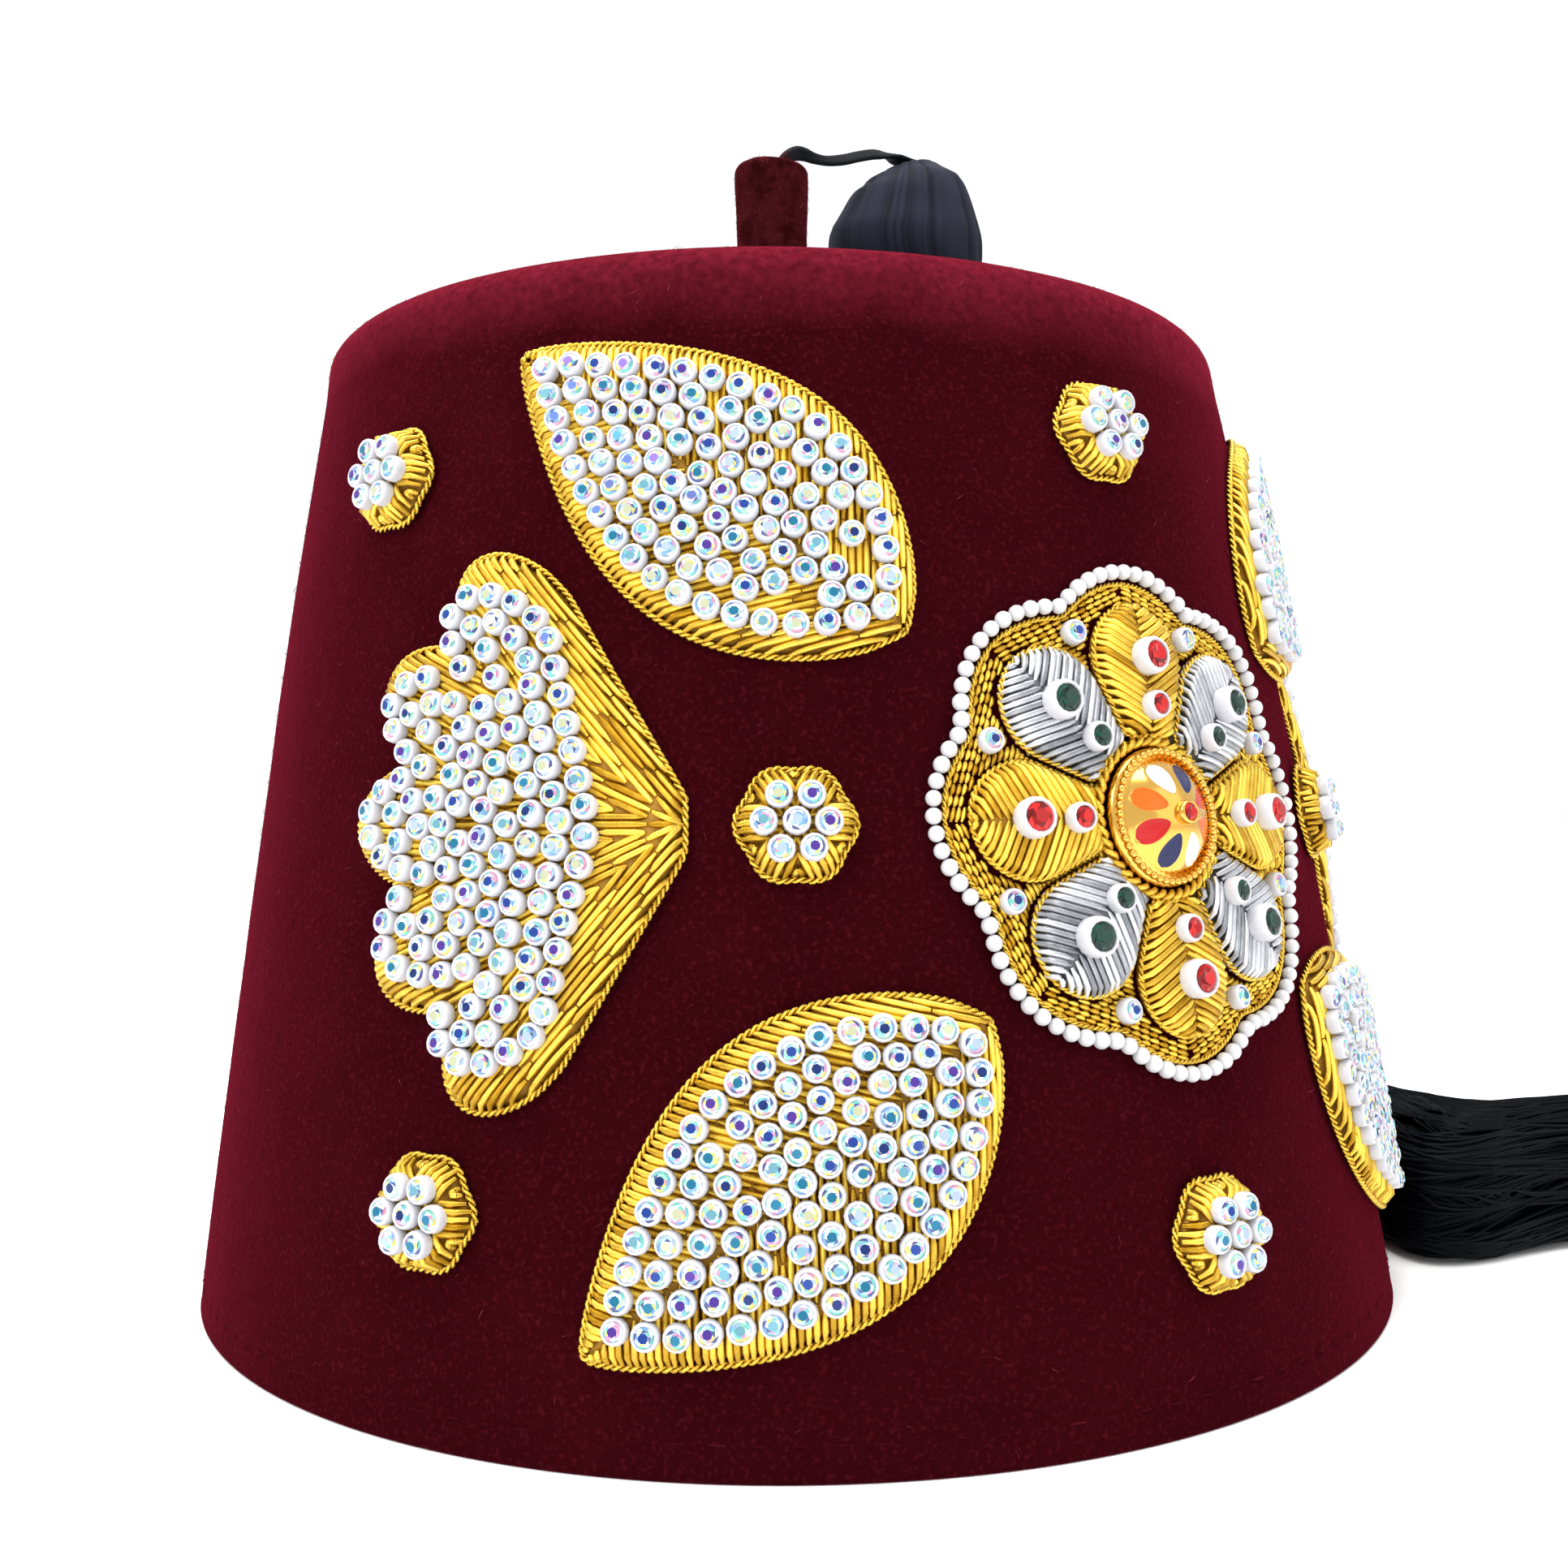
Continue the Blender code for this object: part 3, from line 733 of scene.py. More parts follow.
def turned_rings(profile: Sequence[tuple[float, float]], sides: int) -> Array:
    """Rings of points that turn a profile of (radius, height) about Z."""
    circle = polar(1.0, turns(sides), np.zeros(sides))
    return np.array([radius * circle + (0, 0, height) for radius, height in profile])


def arc(middle: tuple[float, float], radius: float, start: float, stop: float, steps: int) -> list[Any]:
    """Points on an arc in a profile's plane, both ends included."""
    swings = np.linspace(start, stop, steps + 1)
    return [(middle[0] + radius * cos(a), middle[1] + radius * sin(a)) for a in swings]


def path_mesh(name: str, paths: Sequence[Array], closed: bool, core: Any = None, **numbers: Any) -> Mesh:
    """A mesh of edges, for a tree that sweeps or fills paths, after a solid core if there is one.

    Args:
        name: the mesh's name.
        paths: an array of points for each path.
        closed: whether each path joins its own start.
        core: the solid core's points and faces.
        numbers: for each stored name, the paths' arrays of numbers or vectors.

    Returns:
        The mesh, whose stored numbers are 0 for `laid` and 1 for others on the core.
    """
    solid, faces = core or (np.zeros((0, 3)), [])
    edges, start = [], len(solid)
    for path in paths:
        count = len(path)
        edges.extend((start + i, start + i + 1) for i in range(count - 1))
        if closed:
            edges.append((start + count - 1, start))
        start += count
    for stored, values in numbers.items():
        if len(solid):
            values = [np.full(len(solid), float(stored != "laid")), *values]
        numbers[stored] = np.concatenate(values)
    return plain_mesh(name, np.concatenate([solid, *paths]), edges, faces, **numbers)


def catmull(rows: Sequence[Sequence[float]], steps: int) -> Array:
    """Rows of numbers with `steps` steps between two, on a smooth curve through them."""
    table = np.array(rows, dtype=float)
    last = len(table) - 1
    made = []
    for i in range(last):
        before, start, stop, after = (table[min(max(i + k, 0), last)] for k in (-1, 0, 1, 2))
        for k in range(steps):
            t = k / steps
            bend = 2 * before - 5 * start + 4 * stop - after
            curl = 3 * start - before - 3 * stop + after
            made.append(0.5 * (2 * start + (stop - before) * t + bend * t**2 + curl * t**3))
    made.append(table[-1])
    return np.array(made)


def inside(points: Array, ring: Array) -> Array:
    """Whether flat points lie inside a closed ring."""
    x, y = points[:, 0, None], points[:, 1, None]
    start, stop = ring, np.roll(ring, -1, axis=0)
    crosses = (start[:, 1] > y) != (stop[:, 1] > y)
    rise = np.where(stop[:, 1] == start[:, 1], 1e-12, stop[:, 1] - start[:, 1])
    reach = (stop[:, 0] - start[:, 0]) * (y - start[:, 1]) / rise + start[:, 0]
    return (crosses & (x < reach)).sum(axis=1) % 2 == 1


def edge_distance(points: Array, ring: Array) -> Array:
    """How far flat points lie from a closed ring."""
    start = ring[None]
    along = np.roll(ring, -1, axis=0)[None] - start
    offset = points[:, None] - start
    share = np.clip((offset * along).sum(-1) / np.maximum((along**2).sum(-1), 1e-18), 0, 1)
    return norm(offset - along * share[..., None], axis=-1).min(axis=1)


def run_of(points: Array) -> Array:
    """How far along its path each point lies."""
    return np.concatenate([[0], np.cumsum(norm(np.diff(points, axis=0), axis=1))])


def even_ring(ring: Array, spacing: float) -> Array:
    """A closed ring's points, spaced evenly at about the given step."""
    closed = np.vstack([ring, ring[:1]])
    run = run_of(closed)
    count = max(3, round(run[-1] / spacing))
    wanted = np.arange(count) * run[-1] / count
    return np.stack([np.interp(wanted, run, column) for column in closed.T], -1)


def moved_out(ring: Array, distance: float) -> Array:
    """A closed flat ring that runs counter-clockwise, moved outwards, or inwards if below 0."""
    ahead = np.roll(ring, -1, axis=0) - np.roll(ring, 1, axis=0)
    ahead /= norm(ahead, axis=1, keepdims=True)
    return ring + distance * np.stack([ahead[:, 1], -ahead[:, 0]], -1)


# ---------------- geometry trees


class Tree(Graph):
    """A geometry tree with named inputs, made once and grown on many meshes."""

    KINDS = {float: "Float", int: "Int", Material: "Material", Piece: "Object"}

    def __init__(self, name: str, **inputs: Any) -> None:
        """Start the tree with its inputs.

        Args:
            name: the tree's name.
            inputs: by name, a number, a whole number, or the class Material or Piece.
        """
        super().__init__(bpy.data.node_groups.new(name, "GeometryNodeTree"))
        face = self.tree.interface
        face.new_socket("Geometry", in_out="OUTPUT", socket_type="NodeSocketGeometry")
        face.new_socket("Geometry", in_out="INPUT", socket_type="NodeSocketGeometry")
        self.keys: dict[str, str] = {}
        for key, value in inputs.items():
            plain = value if isinstance(value, type) else type(value)
            label = key.replace("_", " ").capitalize()
            socket = face.new_socket(label, in_out="INPUT", socket_type=f"NodeSocket{self.KINDS[plain]}")
            if plain is not value:
                socket.default_value = value
            self.keys[key] = socket.identifier
        outputs = self.add("NodeGroupInput").outputs
        self.geometry = outputs["Geometry"]
        self.entry = {key: outputs[key.replace("_", " ").capitalize()] for key in inputs}

    def finish(self, geometry: Any) -> None:
        """Link what the tree gives."""
        self.add("NodeGroupOutput", {0: geometry})

    def branch(self, geometry: Any, finish: str) -> Socket:
        """End a branch: real meshes in the material of a named input."""
        real = self.out("GeometryNodeRealizeInstances", {"Geometry": geometry})
        return self.out("GeometryNodeSetMaterial", {"Geometry": real, "Material": self.entry[finish]})

    def smooth(self, geometry: Any) -> Socket:
        """Geometry with smooth faces."""
        return self.out("GeometryNodeSetShadeSmooth", {"Geometry": geometry, "Shade Smooth": True})

    def curve(self, mesh: Any, step: Socket | None = None) -> Socket:
        """A mesh's paths as curves, with even steps if a step is given."""
        curve = self.out("GeometryNodeMeshToCurve", {"Mesh": mesh})
        if step is None:
            return curve
        return self.out("GeometryNodeResampleCurve", {"Curve": curve, "Length": step}, mode="LENGTH")

    def tube(self, curve: Any, radius: Socket, **inputs: Any) -> Socket:
        """A curve swept into a tube with closed ends."""
        size = {"Resolution": self.entry["sides"], "Radius": radius}
        profile = self.out("GeometryNodeCurvePrimitiveCircle", size)
        swept = {"Curve": curve, "Profile Curve": profile, "Fill Caps": True, **inputs}
        return self.out("GeometryNodeCurveToMesh", swept)

    def repeat(self, points: Any, shape: str, rotation: Any, scale: Any) -> Socket:
        """The shape of a named input, set on every point."""
        copied = self.add("GeometryNodeObjectInfo", {"Object": self.entry[shape]}).outputs["Geometry"]
        inputs = {"Points": points, "Instance": copied, "Rotation": rotation, "Scale": scale}
        return self.out("GeometryNodeInstanceOnPoints", inputs)

    def rotated(self, rotation: Any, **turn: Any) -> Socket:
        """A rotation turned further about its own X, Y or Z."""
        euler = {"Euler": self.out("ShaderNodeCombineXYZ", turn)}
        inputs = {"Rotation": rotation, "Rotate By": self.out("FunctionNodeEulerToRotation", euler)}
        return self.out("FunctionNodeRotateRotation", inputs, rotation_space="LOCAL")

    def aligned(self, vector: Any, axis: str, rotation: Any = None, pivot: str = "AUTO") -> Socket:
        """A rotation that brings an axis in line with a vector, from another rotation if given."""
        inputs = {"Vector": vector} if rotation is None else {"Rotation": rotation, "Vector": vector}
        return self.out("FunctionNodeAlignRotationToVector", inputs, axis=axis, pivot_axis=pivot)

    def grow(self, name: str, mesh: Mesh, **settings: Any) -> Piece:
        """Grow the tree on a mesh and keep the result as a plain mesh.

        Args:
            name: the piece's name.
            mesh: what the tree starts from.
            settings: values for the tree's named inputs.

        Returns:
            The piece, with no modifier left.
        """
        made = link_object(name, mesh)
        modifier = made.modifiers.new("grow", "NODES")
        modifier.node_group = self.tree
        for key, value in settings.items():
            modifier[self.keys[key]] = value.material() if isinstance(value, Finish) else value
        graph = bpy.context.evaluated_depsgraph_get()
        grown = made.evaluated_get(graph)
        result = bpy.data.meshes.new_from_object(grown, preserve_all_data_layers=True, depsgraph=graph)
        made.modifiers.clear()
        made.data = result
        bpy.data.meshes.remove(mesh)
        result.name = name
        return made


def rods_tree() -> Tree:
    """Sweep every laid path into a round rod, over whatever solid core the mesh has.

    Points with `laid` above 0 belong to paths, `swell` scales the rod at each point, and the
    rest of the mesh is the core.
    """
    tree = Tree("laid rods", rod_radius=0.5 * MM, sides=6, seed=1, finish=Material, core_finish=Material)
    laid = tree.math("GREATER_THAN", tree.named("laid"), 0.5)
    split = tree.add("GeometryNodeSeparateGeometry", {"Geometry": tree.geometry, "Selection": laid})
    curve = tree.curve(split.outputs[0])
    length = tree.add("GeometryNodeSplineParameter").outputs["Length"]
    curve = tree.store(curve, "along", length, "POINT")
    curve = tree.store(curve, "shade", tree.random(0, 1, tree.entry["seed"]), "CURVE")
    swept = tree.tube(curve, tree.entry["rod_radius"], Scale=tree.named("swell"))
    core = tree.branch(tree.smooth(split.outputs[1]), "core_finish")
    tree.finish(tree.join([core, tree.branch(tree.smooth(swept), "finish")]))
    return tree


def twist_tree() -> Tree:
    """Twist two plies of wire or thread round each path of a mesh."""
    plies = 2
    sizes = {"ply_radius": 0.3 * MM, "lay": 2.0 * MM, "step": 0.25 * MM}
    tree = Tree(f"{plies} twisted plies", **sizes, sides=6, finish=Material)
    curve = tree.curve(tree.geometry, tree.entry["step"])
    length = tree.add("GeometryNodeSplineParameter").outputs["Length"]
    turn = tree.math("DIVIDE", tree.math("MULTIPLY", length, 2 * pi), tree.entry["lay"])
    ahead = tree.out("GeometryNodeInputTangent")
    away = tree.named("facing", "FLOAT_VECTOR")
    side = tree.vector("NORMALIZE", tree.vector("CROSS_PRODUCT", ahead, away))
    curve = tree.store(curve, "along", length, "POINT")
    made = []
    for ply in range(plies):
        angle = tree.math("ADD", turn, 2 * pi * ply / plies)
        across = tree.scaled(side, tree.math("COSINE", angle))
        up = tree.scaled(away, tree.math("SINE", angle))
        offset = tree.scaled(tree.vector("ADD", across, up), tree.entry["ply_radius"])
        moved = tree.out("GeometryNodeSetPosition", {"Geometry": curve, "Offset": offset})
        moved = tree.store(moved, "shade", 0.35 + 0.4 * ply / plies, "POINT")
        made.append(tree.tube(moved, tree.entry["ply_radius"]))
    tree.finish(tree.branch(tree.smooth(tree.join(made)), "finish"))
    return tree


def seats_tree() -> Tree:
    """Set a cup and a cut stone on every point, square to its `facing` and at its `size`."""
    kinds = {"cup": Piece, "stone": Piece, "seed": 1, "cup_finish": Material, "stone_finish": Material}
    tree = Tree("seated stones", **kinds)
    spin = tree.random(0, 2 * pi, tree.entry["seed"])
    turned = tree.rotated(tree.aligned(tree.named("facing", "FLOAT_VECTOR"), "Z"), Z=spin)
    ends = []
    for kind in ("cup", "stone"):
        set_down = tree.repeat(tree.geometry, kind, turned, tree.named("size"))
        real = tree.out("GeometryNodeRealizeInstances", {"Geometry": set_down})
        # a random number on each face, which picks each facet's painted glint tint
        glint = tree.random(0, 1, tree.entry["seed"])
        ends.append(tree.branch(tree.store(real, "glint", glint, "FACE"), f"{kind}_finish"))
    tree.finish(tree.join(ends))
    return tree


def string_tree() -> Tree:
    """Thread one shape along each path: pearls, grains or stitches."""
    tree = Tree("threaded beads", bead=Piece, spacing=2.0 * MM, uneven=0.05, seed=1, finish=Material)
    curve = tree.curve(tree.geometry, tree.entry["spacing"])
    turned = tree.aligned(tree.out("GeometryNodeInputTangent"), "X")
    turned = tree.aligned(tree.named("facing", "FLOAT_VECTOR"), "Z", turned, "X")
    drift = tree.math("MULTIPLY", tree.random(-1, 1, tree.entry["seed"]), tree.entry["uneven"])
    beads = tree.repeat(curve, "bead", turned, tree.math("ADD", drift, 1.0))
    beads = tree.store(beads, "shade", tree.random(0, 1, tree.entry["seed"]), "INSTANCE")
    tree.finish(tree.branch(beads, "finish"))
    return tree


def nap_tree() -> Tree:
    """Scatter fibres that lie nearly flat over faces with `nap` above 0."""
    tree = Tree("nap", fibre=Piece, density=1.0e5, seed=1, finish=Material)
    seed = tree.entry["seed"]
    density = tree.math("MULTIPLY", tree.named("nap"), tree.entry["density"])
    inputs = {"Mesh": tree.geometry, "Density": density, "Seed": seed}
    strewn = tree.add("GeometryNodeDistributePointsOnFaces", inputs).outputs
    turned = tree.rotated(strewn["Rotation"], Z=tree.random(0, 2 * pi, seed))
    turned = tree.rotated(turned, X=tree.random(1.05, 1.5, 77))
    fibres = tree.repeat(strewn["Points"], "fibre", turned, tree.random(0.5, 1.3, 78))
    fibres = tree.store(fibres, "shade", tree.random(0, 1, 79), "INSTANCE")
    tree.finish(tree.branch(fibres, "finish"))
    return tree


@dataclass
class Workshop:
    """The trees and the small shapes that many pieces share."""

    rods: Tree = field(default_factory=rods_tree)
    twist: Tree = field(default_factory=twist_tree)
    seats: Tree = field(default_factory=seats_tree)
    strings: Tree = field(default_factory=string_tree)
    nap: Tree = field(default_factory=nap_tree)
    shapes: dict[str, Piece] = field(default_factory=dict)

    def shape(self, name: str, mesh: Mesh) -> Piece:
        """Keep a small mesh as an object that the trees can repeat, out of the scene."""
        self.shapes[name] = bpy.data.objects.new(name, mesh)
        return self.shapes[name]

    def threaded(self, name: str, path: Array, away: Array, bead: Mesh, **settings: Any) -> Piece:
        """A small mesh threaded along a closed path, whose `away` points off what it lies on."""
        mesh = path_mesh("path", [path], True, facing=[away])
        return self.strings.grow(name, mesh, bead=self.shape(f"{name} bead", bead), **settings)

    def gold_cord(self, name: str, path: Array, away: Array, **settings: Any) -> Piece:
        """A twisted gold cord along a closed path, whose `away` points off what it lies on."""
        mesh = path_mesh("path", [path], True, facing=[away])
        return settle(self.twist.grow(name, mesh, finish=PURLS[Metal.GOLD], **settings))

    def seated(self, name: str, places: Array, away: Array, size: Array, **settings: Any) -> Piece:
        """A cup and a cut stone on each place, square to `away` and at their sizes."""
        mesh = plain_mesh("places", places, facing=away, size=size)
        shapes = {"cup": self.shapes["cup"], "stone": self.shapes["stone"]}
        return self.seats.grow(name, mesh, **shapes, **settings)

    def clear(self) -> None:
        """Remove the small shapes once every piece is grown."""
        for shape in self.shapes.values():
            bpy.data.objects.remove(shape)
        self.shapes.clear()


SHOP = Workshop()


def settle(piece: Piece, replaces: Sequence[str] = ()) -> Piece:
    """Attach a finished piece to the body and log it.

    Args:
        piece: the piece.
        replaces: the nodes that it stands for.

    Returns:
        The piece.
    """
    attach(piece, BODY)
    if replaces:
        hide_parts(*replaces)
    log.info("%s: %d faces", piece.name, len(piece.data.polygons))
    return piece


# ---------------- felt


@dataclass
class FeltBody:
    """The blocked felt: a tapered wall, a rounded edge and a nearly flat top, open below."""

    sides: int = 224
    wall_rows: int = 42
    rim_round: float = 0.5 * MM
    uneven: float = 0.28 * MM
    welt: float = 0.45 * MM  # where the stem is sewn in
    welt_radius: float = 6.6 * MM
    fibres: float = 128_000.0  # in a square metre
    fibre_length: float = 0.95 * MM
    fibre_radius: float = 0.026 * MM
    fibres_from: float = 1.2 * MM  # above the surface that the rim rests on
    stitch_height: float = 4.2 * MM
    stitch_spacing: float = 4.6 * MM

    def outer_profile(self) -> list[tuple[float, float]]:
        """The outside, as (radius, height) from the top's middle to the rim."""
        reaches = [(HAT.flat * t, t) for t in np.linspace(0.02, 1, 26)[:-1]]
        top = [(reach, HAT.top(t) + self.welt_rise(reach)) for reach, t in reaches]
        edge = arc((HAT.flat, HAT.height - HAT.edge_round), HAT.edge_round, pi / 2, HAT.edge_tilt, 12)
        heights = np.linspace(HAT.wall_run, 2 * self.rim_round, self.wall_rows)[1:]
        return top + edge + [(float(HAT.radius(z)), z) for z in heights]

    def welt_rise(self, radius: float) -> float:
        """The low ring of felt round the stem's foot."""
        return self.welt * np.exp(-(((radius - self.welt_radius) / (2.2 * MM)) ** 2))

    def profile(self) -> tuple[list[tuple[float, float]], int]:
        """The whole section and how many of its points are outside."""
        outer = self.outer_profile()
        rounded = self.rim_round
        rim = float(HAT.radius(0))
        outer += arc((rim - rounded, rounded), rounded, 0, -pi / 2, 4)
        inner = arc((rim - HAT.felt + rounded, rounded), rounded, -pi / 2, -pi, 4)
        heights = np.linspace(3 * rounded, HAT.wall_run, 14)
        inner += [(float(HAT.radius(z)) - HAT.felt, z) for z in heights[:-1]]
        middle = (HAT.flat, HAT.height - HAT.edge_round)
        inner += arc(middle, HAT.edge_round - HAT.felt, HAT.edge_tilt, pi / 2, 5)
        inner += [(HAT.flat * t, HAT.top(t) - HAT.felt) for t in (0.75, 0.5, 0.25, 0.02)]
        return outer + inner, len(outer)

    def section_rings(self) -> tuple[Array, int]:
        """The body's rings of points, uneven as hand-blocked felt is, and the count outside."""
        profile, outside = self.profile()
        rings = turned_rings(profile, self.sides)
        for point in rings.reshape(-1, 3):
            reach = sqrt(point[0] ** 2 + point[1] ** 2)
            around = Vector((point[0] / reach, point[1] / reach, point[2] * 16)) * 1.6
            push = self.uneven * noise.noise(around) + 0.4 * self.uneven * noise.noise(around * 3.1)
            share = min(1.0, reach / 0.05) * min(1.0, point[2] / 0.006)
            point[:2] *= 1 + push * share / reach
        return HAT.leaned(rings), outside

    def build(self) -> list[Piece]:
        """The felt, its loose fibres and the rim's row of stitches."""
        rings, outside = self.section_rings()
        mesh = loft("felt_body", rings)
        nap = np.zeros(len(mesh.vertices))
        nap[: outside * self.sides] = rings[:outside, :, 2].ravel() > self.fibres_from
        nap[-2] = 1.0
        store_numbers(mesh, "nap", nap)
        body = settle(dressed("felt_body", mesh, FELT), ["felt_crown"])
        fibre = SHOP.shape("fibre", self.fibre())
        loose = SHOP.nap.grow("felt_nap", mesh.copy(), fibre=fibre, density=self.fibres, seed=11, finish=FUZZ)
        return [body, settle(loose), self.stitches()]

    def fibre(self) -> Mesh:
        """One loose fibre, bent a little, for the nap."""
        length = self.fibre_length
        ring = self.fibre_radius * polar(1.0, np.arange(3) * 2 * pi / 3, np.zeros(3))
        middle = (0.06 * length, 0, 0.55 * length)
        points = [*ring, *(0.85 * ring + middle), (0.24 * length, 0, length)]
        faces = [(2, 1, 0)]
        for k in range(3):
            after = (k + 1) % 3
            faces += [(k, after, after + 3, k + 3), (k + 3, after + 3, 6)]
        return turned_outwards(plain_mesh("fibre", points, (), faces))

    def stitches(self) -> Piece:
        """A row of small felt-coloured stitches just above the rim."""
        path, low, high = (HAT.wall(turns(240), self.stitch_height, out) for out in (0.02 * MM, 0, MM))
        rings = []
        for reach, share in ((0.3, 0.06), (0.8, 0.2), (1.0, 0.5), (0.8, 0.8), (0.3, 0.94)):
            ring = turned_rings([(0.2 * MM * reach, 0)], 6)[0]
            along = ring[:, 2] + (share - 0.5) * 2.1 * MM
            rings.append(np.stack([along, ring[:, 0] * 0.8, ring[:, 1]], -1))
        settings = {"spacing": self.stitch_spacing, "uneven": 0.12, "seed": 5, "finish": SEAM_THREAD}
        bead = loft("stitch", np.array(rings))
        return settle(SHOP.threaded("rim_stitches", path, (high - low) / MM, bead, **settings))


@dataclass
class Stem:
    """The rolled felt stem: flat on top, with the roll's lapped edge and a folded corner."""

    radius: float = 6.1 * MM
    height: float = 34.75 * MM
    rounding: float = 1.0 * MM
    shift: tuple[float, float] = (0.5 * MM, -0.34 * MM)
    sides: int = 72
    fibres: float = 750_000.0  # in a square metre
    lap_angle: float = radians(205)
    lap: float = 0.5 * MM
    fold_angle: float = radians(200)
    fold: float = 0.55 * MM
    flare: float = 0.9 * MM

    def build(self) -> list[Piece]:
        """The stem's skin, lapped and flared, and its loose fibres."""
        foot = HAT.height + HAT.dome - HAT.sag
        top = foot + self.height
        shoulder = self.radius - self.rounding
        profile = [(shoulder * t, top + 0.15 * MM * sin(5 * t)) for t in (0.06, 0.35, 0.65, 0.9)]
        profile += arc((shoulder, top - self.rounding), self.rounding, pi / 2, 0, 8)
        profile += [(self.radius, z) for z in np.linspace(top - 1.2 * self.rounding, foot, 34)]
        rings = turned_rings(profile, self.sides)
        for point in rings.reshape(-1, 3):
            self.shape(point, (point[2] - foot) / (top - foot))
        rings = HAT.leaned(rings, np.full(rings.shape[:2], HAT.height)) + np.array([*self.shift, 0])
        mesh = loft("felt_stem", rings)
        store_numbers(mesh, "nap", np.ones(len(mesh.vertices)))
        settings = {"fibre": SHOP.shapes["fibre"], "density": self.fibres, "seed": 12, "finish": STEM_FUZZ}
        nap = SHOP.nap.grow("stem_nap", mesh.copy(), **settings)
        skin = dressed("felt_stem", mesh, STEM_FELT)
        return [settle(skin, ["stem"]), settle(nap)]

    def shape(self, point: Array, up: float) -> None:
        """Move one point for the waist, the flare, the lapped edge and the folded corner.

        Args:
            point: the point, about the stem's own axis.
            up: its share of the way up the stem.
        """
        reach = sqrt(point[0] ** 2 + point[1] ** 2)
        angle = np.arctan2(point[1], point[0]) % (2 * pi)
        edge = min(1.0, reach / (0.7 * self.radius))
        push = -0.045 * self.radius * sin(pi * min(1, up * 1.1)) + self.flare * np.exp(-up / 0.035)
        past = (angle - self.lap_angle) % (2 * pi)
        push += self.lap * np.exp(-past / 0.9) * (1 - np.exp(-past / 0.05)) * (0.35 + 0.65 * up)
        near_top = 1 / (1 + np.exp((0.885 - up) / 0.012))
        push += self.fold * np.exp(-((apart(angle, self.fold_angle) / 0.7) ** 2)) * near_top
        push += 0.12 * MM * noise.noise(Vector((2 * cos(angle), 2 * sin(angle), point[2] * 150)))
        point[:2] *= 1 + push * edge / max(reach, 0.1 * MM)


# ---------------- padded motifs


